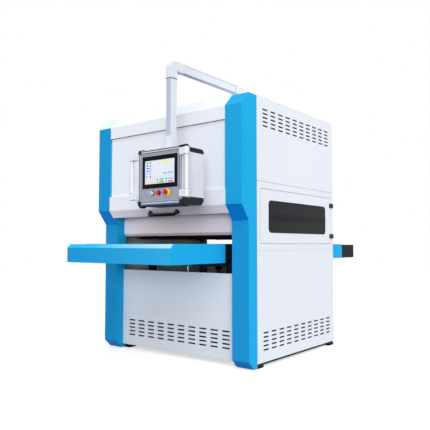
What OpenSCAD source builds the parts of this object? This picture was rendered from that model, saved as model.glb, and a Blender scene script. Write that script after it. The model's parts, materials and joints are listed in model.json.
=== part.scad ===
// Through-feed sheet-metal deburring machine with a height-adjusted conveyor table,
// an abrasive belt head, a disc-brush head and a control panel on a swing arm.
// Millimetres. +X to the right seen from the infeed side, +Y along the feed, +Z up.
// The origin is on the floor, in the middle of the four anchor holes.

/* [Body] */
// Overall width of the body
body_w = 1540; // [1440:10:1800]
// Height of the body above the floor
body_h = 2000; // [1960:10:2200]
// Depth of the body, front of the columns to the back
body_d = 1430; // [1420:10:1700]
// Width of each blue front column
column_w = 150; // [130:5:180]
// Depth of the columns at the roof
column_d = 190; // [180:5:220]
// Depth of the sloping edge at the top of the columns
top_bevel_d = 85; // [60:5:110]
// Height of the sloping edge at the top of the columns
top_bevel_h = 92; // [60:2:120]
// Height at which the columns begin to step back
step_z = 1186; // [1160:2:1200]
// Height of the slope of the step
step_h = 116; // [90:2:130]
// How far the lower columns stand back
step_d = 85; // [60:5:100]
// Height of the sloping toe of the columns
toe_h = 60; // [40:5:80]
// Depth of the sloping toe of the columns
toe_d = 62; // [40:2:80]

/* [Sheet metal] */
// Thickness of the covers
sheet_t = 3; // [2:0.5:4]
// Depth of the folded edges of the panels
pan_d = 20; // [15:1:25]
// Gap between neighbouring panels
seam = 0.8; // [0.5:0.1:0.9]
// Height of the lower edge of the panels above the floor
panel_z = 35; // [30:1:45]
// Height of the lower seam of the sides
low_seam_z = 850; // [800:10:880]
// Height of the upper seam of the sides
high_seam_z = 1366; // [1340:2:1400]

/* [Vents] */
// Vent slots in a row
vent_cols = 10; // [6:1:10]
// Rows of vent slots
vent_rows = 5; // [3:1:6]
// Length of a slot
slot_l = 73; // [50:1:85]
// Height of a slot
slot_h = 12; // [8:1:16]
// End of the panel to the nearest slot
vent_side = 79.5; // [60:0.5:100]
// Spacing of the rows
row_pitch = 31; // [24:1:34]
// Edge of the panel to the nearest row
vent_margin = 89; // [70:1:110]

/* [Work opening] */
// Top edge of the lower front panel
opening_z = 679; // [660:1:690]
// Lowest edge of the apron over the feed
apron_z = 969; // [960:1:990]
// Height of the folded lip of the apron
lip_h = 22; // [15:1:30]
// Depth of the folded lip of the apron
lip_d = 20; // [10:1:30]
// Top edge of the apron
apron_top_z = 1225; // [1200:5:1235]
// Depth at which the lower front panel stands
lower_front_y = 163; // [155:1:167]
// Depth at which the apron stands
apron_y = 167; // [155:1:167]
// Lower edge of the upper back panel
back_gap_z = 952; // [948:1:980]

/* [Front door] */
// Height of the fascia
fascia_h = 192; // [150:2:220]
// How far the door stands behind the fascia
door_inset = 13; // [8:1:20]
// Top of the band that stands proud
band_z = 1303; // [1280:1:1330]
// Overlap of the band on each column
band_lap = 4; // [2:1:20]
// Length of the band's slope
band_slope_l = 74; // [60:1:90]
// Length of the door handle
pull_l = 328; // [250:2:400]
// Height of the door handle
pull_h = 50; // [44:1:60]
// Thickness of the door handle
pull_t = 18; // [14:1:20]
// Width of the door handle
pull_w = 28; // [20:1:34]
// Distance of the door hinges from the columns
door_hinge_inset = 140; // [80:10:220]

/* [Side door] */
// Front edge of the side door
side_door_y0 = 240; // [230:1:260]
// Back of the body to the rear edge of the side door
door_rear_margin = 41; // [40:1:50]
// Lower edge of the side door
side_door_z0 = 905; // [890:1:920]
// Upper edge of the side door
side_door_z1 = 1312; // [1290:1:1330]
// Margin of the window along the feed
window_margin_y = 110; // [90:1:130]
// Margin of the window above and below
window_margin_z = 84; // [70:1:100]
// Corner radius of the window
window_r = 30; // [15:1:40]
// Thickness of the window
window_t = 4; // [3:0.5:6]
// Gap around the door
door_gap = 3; // [2:0.5:4]
// Height of a side hinge
hinge_h = 38; // [30:1:50]
// Width of a hinge leaf
leaf_w = 34; // [28:1:34]
// Radius of a hinge knuckle
knuckle_r = 7; // [6:0.5:7]
// Radius of a hinge pin
hinge_pin_r = 4; // [3:0.5:4.5]

/* [Table] */
// Height of the table above the floor
table_z = 900; // [880:5:900]
// Gap between the table and each column
table_gap = 75; // [70:1:90]
// Depth of the table sides
table_h = 140; // [130:2:150]
// Reach of the table in front of the columns
infeed_l = 492; // [440:2:600]
// Length of each blue shroud
shroud_l = 596; // [560:2:600]
// Reach of the table behind the body
rear_reach = 677; // [640:1:730]
// Length of the black outfeed rack
outfeed_l = 295; // [200:5:400]
// Sloping edge of the shrouds
shroud_bevel = 28; // [15:1:35]
// Margin of the table on each side of the belt
belt_margin = 40; // [38:1:55]
// Thickness of the conveyor belt
belt_t = 3; // [2:0.5:4]
// Height of the belt above the shrouds
belt_proud = 2; // [1:0.5:3]
// Radius of the conveyor rollers
feed_roller_r = 60; // [50:1:60]
// Axis of the feed roller behind the table end
feed_roller_inset = 152; // [140:1:170]
// Greatest travel of the table up or down
lift_travel = 40; // [20:5:40]

/* [Heads] */
// Height of the lowest point of the heads above the table
head_clear = 44; // [43:1:60]
// Radius of the contact roller
contact_r = 100; // [80:1:105]
// Radius of the belt tension roller
tension_r = 70; // [60:1:80]
// Distance between the contact roller and the tension roller
belt_centres = 620; // [560:5:640]
// Depth of the contact roller's axis
contact_y = 480; // [470:2:500]
// Thickness of the abrasive belt
abrasive_t = 1.5; // [1:0.1:2]
// Radius of the brush discs
disc_r = 150; // [120:5:150]
// Spacing of the brush discs across the feed
disc_pitch = 250; // [240:2:260]
// Depth of the front row of brush discs
disc_row_y = 930; // [900:5:940]
// Distance between the two rows of brush discs
disc_row_gap = 200; // [195:5:210]
// Height of the abrasive flaps of a disc
flap_h = 71; // [50:1:71]
// Slots between the flaps of a disc
flap_count = 12; // [8:1:16]
// Radius of the pinch rollers
pinch_r = 40; // [30:1:40]
// Depth of the front pinch roller's axis
pinch_front_y = 290; // [280:1:295]
// Back of the body to the rear pinch roller's axis
pinch_rear_inset = 100; // [95:1:110]

/* [Arm] */
// Sideways place of the arm
arm_x = 400; // [350:5:450]
// Depth of the arm's pivot
arm_pivot_y = 485; // [460:5:520]
// Reach of the arm from its pivot to the drop tube
arm_reach = 817; // [800:1:850]
// Width of the arm profile
arm_w = 44; // [36:1:46]
// Height of the arm profile
arm_h = 60; // [50:1:60]
// Height of the underside of the arm above the roof
arm_rise = 128; // [110:1:160]
// Lower end of the drop tube
tube_end_z = 1655; // [1640:1:1700]

/* [Control panel] */
// Width of the control panel
box_w = 406; // [380:2:420]
// Height of the control panel
box_h = 389; // [370:1:400]
// Depth of the panel's front frame
frame_d = 77; // [60:1:80]
// Depth of the housing behind the frame
housing_d = 154; // [130:1:160]
// Width of the frame profile
frame_w = 28; // [22:1:32]
// Face plate on each side of the black edge of the screen
face_margin = 12; // [8:1:30]
// Gap between the controls and the black edge of the screen
control_gap = 33.5; // [25:0.5:60]
// Width of the black edge of the screen
screen_edge = 24; // [15:1:26]
// Radius of the panel handles
grip_r = 15; // [12:1:17]
// Distance of the panel handles from the sides
grip_off = 53; // [48:1:60]

/* [Hidden] */

$fn = 64;
overrun = 5;
running = 0.05;
touch = 0.3;
loose = 1;
belt_steps = 24;
half_w = body_w / 2;
column_x = half_w - column_w;

// Floor pads and welded base
pad_h = 20;
pad_l = 84;
anchor_r = 9;
anchor_inset = 40;
front_pad_y = column_d;
rear_pad_y = body_d - pad_l - sheet_t * 2;
rail_h = 100;
rail_w = 100;
rail_wall = 5;
rail_x = half_w - pan_d - seam / 2 - rail_w;
rail_top = pad_h + rail_h;
floor_gap = 4;
rail_y0 = step_d + toe_d;
rail_y1 = body_d - pan_d - seam / 2;
anchor_x = rail_x - anchor_inset;
anchor_y0 = front_pad_y + pad_l / 2;
anchor_y1 = rear_pad_y + pad_l / 2;
origin_y = (anchor_y0 + anchor_y1) / 2;

// Upright frame
post = 60;
post_wall = 5;
post_gap = 8;
mid_rail_rise = 15;
front_post_x = column_x + post / 2;
front_post_y = rail_y0;
rear_post_x = rail_x + rail_w - post - post_gap;
rear_post_y = rail_y1 - post - touch;
mid_rail_z = apron_top_z + mid_rail_rise;
top_rail_z = body_h - pan_d - sheet_t - post - touch;
rear_cross_inset = 160;
front_cross_y = front_post_y + post;
cross_rail_y = contact_y + contact_r + post;
rear_cross_y = body_d - rear_cross_inset;

// Covers
column_outline = [[0, step_z], [0, body_h - top_bevel_h], [top_bevel_d, body_h],
    [column_d, body_h], [column_d, floor_gap], [step_d + toe_d, floor_gap],
    [step_d, floor_gap + toe_h], [step_d, step_z - step_h]];
side_y0 = column_d + seam;

// Extraction spigots
duct_x = 300;
duct_drop = 400;
duct_z = body_h - duct_drop;
duct_r = 75;
duct_l = 80;
duct_flange_r = 100;

// Front door
fascia_z = body_h - fascia_h;
door_hinge_x = column_x - door_hinge_inset;
door_hinge_y = 45;
door_hinge_rise = 7;
door_hinge_z = fascia_z + door_hinge_rise;
door_pin_r = 6;
door_lug_t = 8;
door_eye_w = 38;
door_lug_h = 28;
door_eye_drop = 28;
door_lug_reach = 10;
door_lug_y = door_hinge_y + door_lug_reach;
door_half_w = column_x - door_gap;
door_top = fascia_z - loose;
slope = [step_d, -step_h] / norm([step_d, step_h]);
slope_out = [slope.y, -slope.x];

// Side window
side_door_y1 = body_d - door_rear_margin;
window_y = (side_door_y0 + side_door_y1) / 2;
window_z = (side_door_z0 + side_door_z1) / 2;
window_w = side_door_y1 - side_door_y0 - 2 * window_margin_y;
window_h = side_door_z1 - side_door_z0 - 2 * window_margin_z;
pane_lap = 15;

// Side hinges
hinge_inset_z = 66;
leaf_t = 8;
hinge_x = half_w + knuckle_r + touch;
hinge_y = side_door_y1 + knuckle_r;

// Table
table_half_w = column_x - table_gap;
belt_w = 2 * (table_half_w - belt_margin);
table_y0 = -infeed_l;
table_y1 = body_d + rear_reach;
table_bottom = table_z - table_h;
table_mid_y = (table_y0 + table_y1) / 2;
belt_top = table_z + belt_proud;
feed_gap = touch / cos(90 / belt_steps);
feed_axis_z = belt_top - belt_t - feed_roller_r - feed_gap;
idler_y = table_y0 + feed_roller_inset;
drive_y = table_y1 - feed_roller_inset;
beam_t = 20;
beam_x = table_half_w - sheet_t - loose - beam_t;
beam_z = table_bottom + sheet_t + touch;
beam_top = table_z - sheet_t - touch;
feed_shaft_r = 15;
shaft_end_gap = 2;
feed_shaft_end = beam_x + beam_t - shaft_end_gap;
bearer_h = 40;
bearer_w = 80;
bearer_inset = 226.5;
bearer_y = table_y1 - shroud_l - bearer_inset - table_mid_y;
bush_l = 80;
bed_t = 8;
bed_x = belt_w / 2 + sheet_t;
bed_z = belt_top - belt_t - touch - bed_t;
bed_tie_t = 12;
cross_ys = [table_mid_y - bearer_y, table_mid_y, table_mid_y + bearer_y];
gearbox_w = 110;
gearbox_t = 90;
gear_motor_r = 42;
gear_motor_l = 210;
gear_motor_step = 5;
rack_rib = 40;
rack_ribs = 5;

// Lift
jack_inset = 91;
jack_x = beam_x - jack_inset;
jack_w = 150;
jack_d = 120;
jack_h = 150;
screw_r = 20;
screw_tip = 50;
screw_flange_r = 38;
screw_flange_t = 12;
lift_shaft_r = 10;
lift_shaft_off = 45;
lift_shaft_z = rail_top + jack_h / 2;
guide_r = 20;
guide_inset = 91;
guide_x = beam_x - guide_inset;
guide_bush_r = 34;
guide_top = feed_axis_z - feed_roller_r - belt_t * 2 - lift_travel;
lift_motor_r = 60;
lift_motor_l = 220;
lift_foot_t = 10;

// Heads
abrasive_w = belt_w;
head_z = table_z + head_clear;
contact_z = head_z + contact_r;
tension_z = contact_z + belt_centres;
head_plate_t = 12;
head_plate_gap = 40;
head_plate_x = abrasive_w / 2 + head_plate_gap;
head_plate_margin = 50;
head_plate_drop = 50;
head_plate_rise = 90;
head_plate_d = 2 * (contact_r + head_plate_margin);
head_y1 = cross_rail_y;
head_y0 = head_y1 - head_plate_d;
head_plate_z = contact_z - head_plate_drop;
head_plate_top = tension_z + head_plate_rise;
head_shaft_r = 25;
housing_r = 48;
housing_t = 22;
pulley_w = 30;
pulley_gap = 8;
pulley_x = -half_w + pan_d + pulley_gap;
drive_pulley_r = 90;
motor_pulley_r = 80;
v_belt_t = 8;
motor_r = 120;
motor_l = 340;
motor_behind = 110;
motor_y = head_y1 + motor_behind;
motor_foot = 20;
motor_z = mid_rail_z + post + motor_foot + motor_r;
motor_shaft_r = 19;
motor_inset = 100;
motor_x0 = motor_inset - column_x;

// Brush head
disc_count = 4;
disc_plate_t = 15;
disc_hub_r = 55;
disc_hub_h = 22;
spindle_r = 20;
spindle_l = 60;
flap_slot = 8;
flap_bore_r = 60;
gearbox_inset = 100;
gearbox_x = column_x - gearbox_inset;
carrier_t = 12;
gearbox_gap = 4;
gearbox_z = head_z + flap_h + disc_plate_t + disc_hub_h + gearbox_gap;
gearbox_top = mid_rail_z - carrier_t;
brush_motor_r = 110;
brush_motor_l = 300;
gearbox_y0 = disc_row_y - disc_r;
gearbox_y1 = disc_row_y + disc_row_gap + disc_r / 2;

// Pinch rollers
pinch_rear_y = body_d - pinch_rear_inset;
pinch_inset = 5;
pinch_half_l = belt_w / 2 - pinch_inset;
pinch_shaft_r = 15;
bracket_gap = 50;
bracket_x = pinch_half_l + bracket_gap;
bracket_t = 12;
bracket_w = 60;
bracket_rise = 8;
bracket_z = head_z + bracket_rise;

// Arm
tube_y = arm_pivot_y - arm_reach;
arm_z = body_h + arm_rise;
elbow_wall = 4;
elbow_r = 55;
elbow_leg = 62;
elbow_sleeve = 77;
elbow_overlap = 27;
flange_r = 65;
flange_t = 14;
neck_r = 40;
arm_pin_r = 25;
elbow_foot_rise = 60;
elbow_foot_z = body_h + elbow_foot_rise;
swivel_r = 12;
swivel_l = 55;
arm_front_y = tube_y + arm_h / 2 + elbow_sleeve + elbow_wall;
arm_rear_y = arm_pivot_y - neck_r - elbow_wall - elbow_overlap;
elbow_drop = arm_z - elbow_leg;

// Control panel
collar_w = 50;
collar_d = 68;
collar_h = 102;
tube_setback = 38;
box_top = tube_end_z - collar_h;
box_z = box_top - box_h;
box_x0 = arm_x - box_w / 2;
box_x1 = arm_x + box_w / 2;
box_front = tube_y - housing_d / 2 - frame_d + tube_setback;
frame_back = box_front + frame_d;
housing_back = frame_back + housing_d;
housing_in = 3;
strip_h = 33;
low_strip_h = 53;
face_recess = 5;
face_t = 4;
bezel_t = 4;
screen_off = 4;
screen_head = 46.5;
screen_rim = screen_edge * 1.25;
control_rise = 86;
selector_off = 68;
button_off = 10;
estop_off = 67;
screen_w = box_w - 2 * (frame_w + screen_edge + face_margin);
screen_h = box_h - screen_head - control_rise - control_gap - 2 * screen_rim;
screen_mid_x = arm_x - screen_off;
screen_mid_z = box_top - screen_head - screen_rim - screen_h / 2;
control_z = box_z + control_rise;
selector_x = arm_x - selector_off;
button_x = arm_x - button_off;
estop_x = arm_x + estop_off;
ring_r = 15;
ring_t = 3;
stem_r = 7;
stem_l = 22;
knob_l = 18;
button_travel = 4;
estop_travel = 5;
cap_w = 25;
cap_proud = 9;
socket_h = 46;
grip_foot = 46;
grip_head = 20;
grip_proud = 14;
grip_z0 = box_z + grip_foot;
grip_z1 = box_top - grip_head;
grip_y = box_front - grip_proud;

function right_of(a, b) = let(u = (b - a) / norm(b - a)) [u.y, -u.x];
function inset(p, d) = [for (i = [0 : len(p) - 1])
    let(a = p[(i + len(p) - 1) % len(p)], b = p[i], c = p[(i + 1) % len(p)],
        m = right_of(a, b), n = right_of(b, c)) b + d * (m + n) / (1 + m * n)];
function arc(c, r, a0, a1, n = 12) =
    [for (i = [0 : n]) c + r * [cos(a0 + (a1 - a0) * i / n), sin(a0 + (a1 - a0) * i / n)]];
// Outline of a belt of outer radii r1 and r2 round two pulleys at c1 and c2
function belt_path(c1, r1, c2, r2, n = belt_steps) =
    let(d = c2 - c1, a = atan2(d.y, d.x), b = acos((r1 - r2) / norm(d)))
    concat(arc(c1, r1, a + b, a + 360 - b, n), arc(c2, r2, a - b, a + b, n));

module placed() {
    translate([0, -origin_y, 0]) children();
}

module box(lo, hi) {
    translate(lo) cube(hi - lo);
}

module both_sides() {
    children();
    mirror([1, 0, 0]) children();
}

// Outline in depth and height, extruded across the machine from x
module across(x, w) {
    translate([x, 0, 0]) rotate([90, 0, 90]) linear_extrude(w) children();
}

// Outline in width and height, extruded along the feed from y
module along(y, d) {
    translate([0, y + d, 0]) rotate([90, 0, 0]) linear_extrude(d) children();
}

module rod_x(x0, x1, y, z, r) {
    translate([x0, y, z]) rotate([0, 90, 0]) cylinder(h = x1 - x0, r = r);
}

module rod_y(y0, y1, x, z, r) {
    translate([x, y0, z]) rotate([-90, 0, 0]) cylinder(h = y1 - y0, r = r);
}

module rod_z(z0, z1, x, y, r) {
    translate([x, y, z0]) cylinder(h = z1 - z0, r = r);
}

module rounded(w, h, r) {
    square([w - 2 * r, h], center = true);
    square([w, h - 2 * r], center = true);
    for (sx = [-1, 1], sy = [-1, 1])
        translate([sx * (w / 2 - r), sy * (h / 2 - r)]) circle(r);
}

module slot() {
    square([slot_l - slot_h, slot_h], center = true);
    for (s = [-1, 1]) translate([s * (slot_l - slot_h) / 2, 0]) circle(d = slot_h);
}

// Slots spread over a panel as long as the span
module vents(mid, first_z, span) {
    pitch = (span - 2 * vent_side - slot_l) / (vent_cols - 1);
    for (i = [0 : vent_cols - 1], j = [0 : vent_rows - 1])
        translate([mid + (i - (vent_cols - 1) / 2) * pitch, first_z + j * row_pitch])
            slot();
}

// Panel of the right side with its edges folded inwards
module side_pan(y0, y1, z0, z1) {
    difference() {
        box([half_w - pan_d, y0, z0], [half_w, y1, z1]);
        box([half_w - pan_d - overrun, y0 + sheet_t, z0 + sheet_t],
            [half_w - sheet_t, y1 - sheet_t, z1 - sheet_t]);
    }
}

// Panel facing the infeed side, with its edges folded backwards
module front_pan(x, y, z0, z1, back = 1) {
    y_in = back > 0 ? y + sheet_t : y - pan_d - overrun;
    difference() {
        box([-x, back > 0 ? y : y - pan_d, z0], [x, back > 0 ? y + pan_d : y, z1]);
        box([-x + sheet_t, y_in, z0 + sheet_t],
            [x - sheet_t, y_in + pan_d - sheet_t + overrun, z1 - sheet_t]);
    }
}

module base_frame() {
    color([0.13, 0.14, 0.16]) {
        difference() {
            union() {
                both_sides() box([rail_x, rail_y0, pad_h], [rail_x + rail_w, rail_y1, rail_top]);
                for (y = cross_ys)
                    box([-rail_x, y - rail_w / 2, pad_h], [rail_x, y + rail_w / 2, rail_top]);
                both_sides() box([rail_x + rail_w - rail_wall, front_pad_y, pad_h],
                    [half_w - sheet_t, rail_y1, panel_z - seam]);
            }
            both_sides() box([rail_x + rail_wall, rail_y0 - overrun, pad_h + rail_wall],
                [rail_x + rail_w - rail_wall, rail_y1 + overrun, rail_top - rail_wall]);
            for (y = cross_ys)
                box([-rail_x - overrun, y - rail_w / 2 + rail_wall, pad_h + rail_wall],
                    [rail_x + overrun, y + rail_w / 2 - rail_wall, rail_top - rail_wall]);
        }
        both_sides() for (y = [front_pad_y, rear_pad_y]) difference() {
            box([anchor_x - anchor_inset, y, 0], [half_w - sheet_t, y + pad_l, pad_h]);
            rod_z(-overrun, pad_h + overrun, anchor_x, y + pad_l / 2, anchor_r);
        }
    }
}

// Square tube between two corners, open along one axis
module tube(lo, hi, axis) {
    w = [for (i = [0 : 2]) i == axis ? -overrun : post_wall];
    difference() {
        box(lo, hi);
        box(lo + w, hi - w);
    }
}

module main_frame() {
    color([0.32, 0.35, 0.38]) {
        both_sides() {
            tube([front_post_x, front_post_y, rail_top],
                [front_post_x + post, front_post_y + post, top_rail_z + post], 2);
            tube([rear_post_x, rear_post_y, rail_top],
                [rear_post_x + post, rear_post_y + post, top_rail_z + post], 2);
            for (z = [mid_rail_z, top_rail_z])
                tube([front_post_x, front_post_y + post, z],
                    [front_post_x + post, rear_post_y, z + post], 1);
            for (z = [mid_rail_z, top_rail_z])
                box([front_post_x, rear_post_y, z],
                    [rear_post_x, rear_post_y + post, z + post]);
        }
        for (y = [front_cross_y, rear_post_y])
            tube([-front_post_x, y, top_rail_z], [front_post_x, y + post, top_rail_z + post], 0);
        for (y = [cross_rail_y, rear_cross_y])
            tube([-front_post_x, y, mid_rail_z], [front_post_x, y + post, mid_rail_z + post], 0);
    }
}

module column_cover() {
    difference() {
        across(column_x, column_w) polygon(column_outline);
        across(column_x + sheet_t, column_w - 2 * sheet_t) polygon(inset(column_outline, sheet_t));
        box([column_x + sheet_t, column_d - 2 * sheet_t, floor_gap + sheet_t],
            [half_w - sheet_t, column_d + overrun, body_h - sheet_t]);
    }
}

module left_column_cover() {
    color([0.09, 0.57, 0.83]) mirror([1, 0, 0]) column_cover();
}

module right_column_cover() {
    color([0.09, 0.57, 0.83]) column_cover();
}

module lower_side_panels() {
    color([0.91, 0.93, 0.96]) both_sides() difference() {
        side_pan(side_y0, body_d, panel_z, low_seam_z - seam / 2);
        across(half_w - pan_d, pan_d + overrun)
            vents((column_d + body_d) / 2, panel_z + vent_margin, body_d - column_d);
    }
}

module upper_side_panels() {
    color([0.91, 0.93, 0.96]) both_sides() difference() {
        side_pan(side_y0, body_d, high_seam_z + seam / 2, body_h - sheet_t - seam);
        across(half_w - pan_d, pan_d + overrun)
            vents((column_d + body_d) / 2, body_h - vent_margin - (vent_rows - 1) * row_pitch,
                body_d - column_d);
    }
}

module side_door_surround() {
    flange = [0, sheet_t, sheet_t];
    lo = [half_w - pan_d, side_door_y0 - door_gap, side_door_z0 - door_gap];
    hi = [half_w, side_door_y1 + door_gap, side_door_z1 + door_gap];
    out = [overrun, 0, 0];
    color([0.91, 0.93, 0.96]) {
        difference() {
            side_pan(side_y0, body_d, low_seam_z + seam / 2, high_seam_z - seam / 2);
            box(lo - out, hi + out);
        }
        difference() {
            box(lo - flange, hi + flange);
            box(lo - out, hi + out);
        }
    }
}

module left_middle_panel() {
    color([0.91, 0.93, 0.96]) mirror([1, 0, 0])
        side_pan(side_y0, body_d, low_seam_z + seam / 2, high_seam_z - seam / 2);
}

module roof_cover() {
    rim_x = half_w - pan_d - seam;
    rim_lo = [-rim_x, side_y0, body_h - pan_d];
    rim_hi = [rim_x, body_d - pan_d - seam, body_h - sheet_t];
    wall = [sheet_t, sheet_t, overrun];
    color([0.91, 0.93, 0.96]) {
        box([-half_w, side_y0, body_h - sheet_t], [half_w, body_d, body_h]);
        difference() {
            box(rim_lo, rim_hi);
            box(rim_lo + wall, rim_hi - wall + [0, 0, 2 * overrun]);
        }
    }
}

module front_fascia() {
    x = column_x - seam;
    back = column_d + 2 * sheet_t;
    low = fascia_z - 2 * sheet_t;
    color([0.91, 0.93, 0.96]) difference() {
        across(-x, 2 * x) polygon([[0, fascia_z], [0, body_h - top_bevel_h],
            [top_bevel_d, body_h], [column_d, body_h], [column_d, fascia_z]]);
        across(-x - overrun, 2 * (x + overrun)) polygon(inset([[0, low],
            [0, body_h - top_bevel_h], [top_bevel_d, body_h], [back, body_h], [back, low]],
            sheet_t));
    }
}

module front_panels() {
    x = column_x - seam;
    color([0.88, 0.90, 0.94]) {
        difference() {
            front_pan(x, lower_front_y, panel_z, opening_z);
            along(lower_front_y - overrun, pan_d + 2 * overrun)
                vents(0, panel_z + vent_margin, 2 * column_x);
        }
        front_pan(x, apron_y, apron_z + lip_h, apron_top_z);
        across(-x, 2 * x) polygon([[apron_y, apron_z + lip_h], [apron_y + lip_d, apron_z],
            [apron_y + lip_d + sheet_t, apron_z], [apron_y + sheet_t, apron_z + lip_h + sheet_t],
            [apron_y, apron_z + lip_h + sheet_t]]);
    }
}

module rear_panels() {
    x = half_w - pan_d - seam;
    color([0.91, 0.93, 0.96]) {
        front_pan(x, body_d, panel_z, opening_z, -1);
        difference() {
            front_pan(x, body_d, back_gap_z, body_h - sheet_t - seam, -1);
            both_sides() rod_y(body_d - pan_d, body_d + overrun, duct_x, duct_z,
                duct_r - sheet_t);
        }
    }
}

module extraction_duct() {
    color([0.70, 0.72, 0.75]) both_sides() difference() {
        union() {
            rod_y(body_d, body_d + sheet_t, duct_x, duct_z, duct_flange_r);
            rod_y(body_d, body_d + duct_l, duct_x, duct_z, duct_r);
        }
        rod_y(body_d - overrun, body_d + duct_l + overrun, duct_x, duct_z, duct_r - sheet_t);
    }
}

module belt_head_frame() {
    tie_y = contact_y - post / 2;
    color([0.45, 0.48, 0.52]) {
        both_sides() {
            difference() {
                union() {
                    box([head_plate_x, head_y0, head_plate_z],
                        [head_plate_x + head_plate_t, head_y1, head_plate_top]);
                    for (z = [contact_z, tension_z])
                        rod_x(head_plate_x, head_plate_x + head_plate_t + housing_t,
                            contact_y, z, housing_r);
                    box([head_plate_x, contact_y - housing_r, mid_rail_z],
                        [front_post_x, contact_y + housing_r, mid_rail_z + post]);
                }
                for (z = [contact_z, tension_z])
                    rod_x(head_plate_x - overrun, head_plate_x + head_plate_t + housing_t
                        + overrun, contact_y, z, head_shaft_r + running);
            }
        }
        for (z = [mid_rail_z, tension_z - contact_r - post * 2])
            tube([-head_plate_x, tie_y, z], [head_plate_x, tie_y + post, z + post], 0);
    }
}

module belt_motor() {
    foot_x = motor_l / 4;
    color([0.18, 0.30, 0.40]) difference() {
        union() {
            rod_x(motor_x0, motor_x0 + motor_l, motor_y, motor_z, motor_r);
            for (x = [motor_x0 + foot_x, motor_x0 + motor_l - foot_x])
                box([x - motor_foot, motor_y - motor_r, mid_rail_z + post],
                    [x + motor_foot, motor_y + motor_r / 2, motor_z]);
        }
        rod_x(motor_x0 - overrun, motor_x0 + motor_l / 2, motor_y, motor_z,
            motor_shaft_r + running);
    }
}

module v_belt() {
    c = [contact_y, contact_z];
    m = [motor_y, motor_z];
    g = feed_gap;
    color([0.10, 0.10, 0.11]) across(pulley_x, pulley_w) difference() {
        polygon(belt_path(c, drive_pulley_r + g + v_belt_t, m, motor_pulley_r + g + v_belt_t));
        polygon(belt_path(c, drive_pulley_r + g, m, motor_pulley_r + g));
    }
}

module abrasive_belt() {
    c = [contact_y, contact_z];
    t = [contact_y, tension_z];
    g = feed_gap;
    color([0.45, 0.20, 0.10]) across(-abrasive_w / 2, abrasive_w) difference() {
        polygon(belt_path(c, contact_r + g + abrasive_t, t, tension_r + g + abrasive_t));
        polygon(belt_path(c, contact_r + g, t, tension_r + g));
    }
}

function disc_x(i) = (i - (disc_count - 1) / 2) * disc_pitch;
function disc_y(i) = disc_row_y + (i % 2) * disc_row_gap;

module brush_gearbox() {
    motor_y0 = (gearbox_y0 + gearbox_y1) / 2;
    color([0.40, 0.44, 0.48]) {
        difference() {
            box([-gearbox_x, gearbox_y0, gearbox_z], [gearbox_x, gearbox_y1, gearbox_top]);
            for (i = [0 : disc_count - 1])
                rod_z(gearbox_z - overrun, gearbox_z + spindle_l + overrun,
                    disc_x(i), disc_y(i), spindle_r + running);
        }
        box([-gearbox_x, cross_rail_y, gearbox_top],
            [gearbox_x, rear_cross_y + post, gearbox_top + carrier_t]);
        rod_z(gearbox_top, gearbox_top + brush_motor_l, 0, motor_y0, brush_motor_r);
        rod_z(gearbox_top, gearbox_top + carrier_t * 3, 0, motor_y0, brush_motor_r + motor_foot);
    }
}

module pinch_brackets() {
    color([0.45, 0.48, 0.52]) both_sides() for (y = [pinch_front_y, pinch_rear_y]) difference() {
        union() {
            box([bracket_x, y - bracket_w / 2, bracket_z],
                [bracket_x + bracket_t, y + bracket_w / 2, mid_rail_z]);
            box([bracket_x, y - bracket_w / 2, mid_rail_z - bracket_t],
                [front_post_x + post / 2, y + bracket_w / 2, mid_rail_z]);
        }
        rod_x(bracket_x - overrun, bracket_x + bracket_t + overrun, y, head_z + pinch_r,
            pinch_shaft_r + running);
    }
}

module arm_base() {
    color([0.80, 0.82, 0.85]) {
        rod_z(body_h, body_h + flange_t, arm_x, arm_pivot_y, flange_r);
        rod_z(body_h, elbow_foot_z - touch, arm_x, arm_pivot_y, neck_r);
        rod_z(body_h, arm_z + arm_h / 2, arm_x, arm_pivot_y, arm_pin_r);
    }
}

module lift_jacks() {
    color([0.30, 0.33, 0.36]) both_sides() {
        difference() {
            union() {
                box([jack_x - jack_w / 2, table_mid_y - jack_d / 2, rail_top],
                    [jack_x + jack_w / 2, table_mid_y + jack_d / 2, rail_top + jack_h]);
                rod_z(rail_top + jack_h, rail_top + jack_h + lift_travel, jack_x, table_mid_y,
                    screw_flange_r);
            }
            rod_z(rail_top, rail_top + jack_h + lift_travel + overrun, jack_x, table_mid_y,
                screw_r + running);
            rod_x(jack_x - jack_w, jack_x - lift_shaft_off, table_mid_y - lift_shaft_off,
                lift_shaft_z, lift_shaft_r + running);
        }
        for (s = [-1, 1])
            rod_z(rail_top, guide_top, guide_x, table_mid_y + s * bearer_y, guide_r);
    }
}

module lift_motor() {
    y = table_mid_y - lift_shaft_off;
    color([0.18, 0.30, 0.40]) difference() {
        union() {
            box([-lift_motor_r, table_mid_y - rail_w / 2, rail_top],
                [lift_motor_r, table_mid_y + rail_w / 2, rail_top + lift_foot_t]);
            box([-lift_motor_r, y - lift_motor_r, rail_top + lift_foot_t],
                [lift_motor_r, y + lift_motor_r, lift_shaft_z + lift_motor_r]);
            rod_y(y, y + lift_motor_l, 0, lift_shaft_z + touch, lift_motor_r);
        }
        rod_x(-lift_motor_r - overrun, lift_motor_r + overrun, y, lift_shaft_z,
            lift_shaft_r + running);
    }
}

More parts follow.
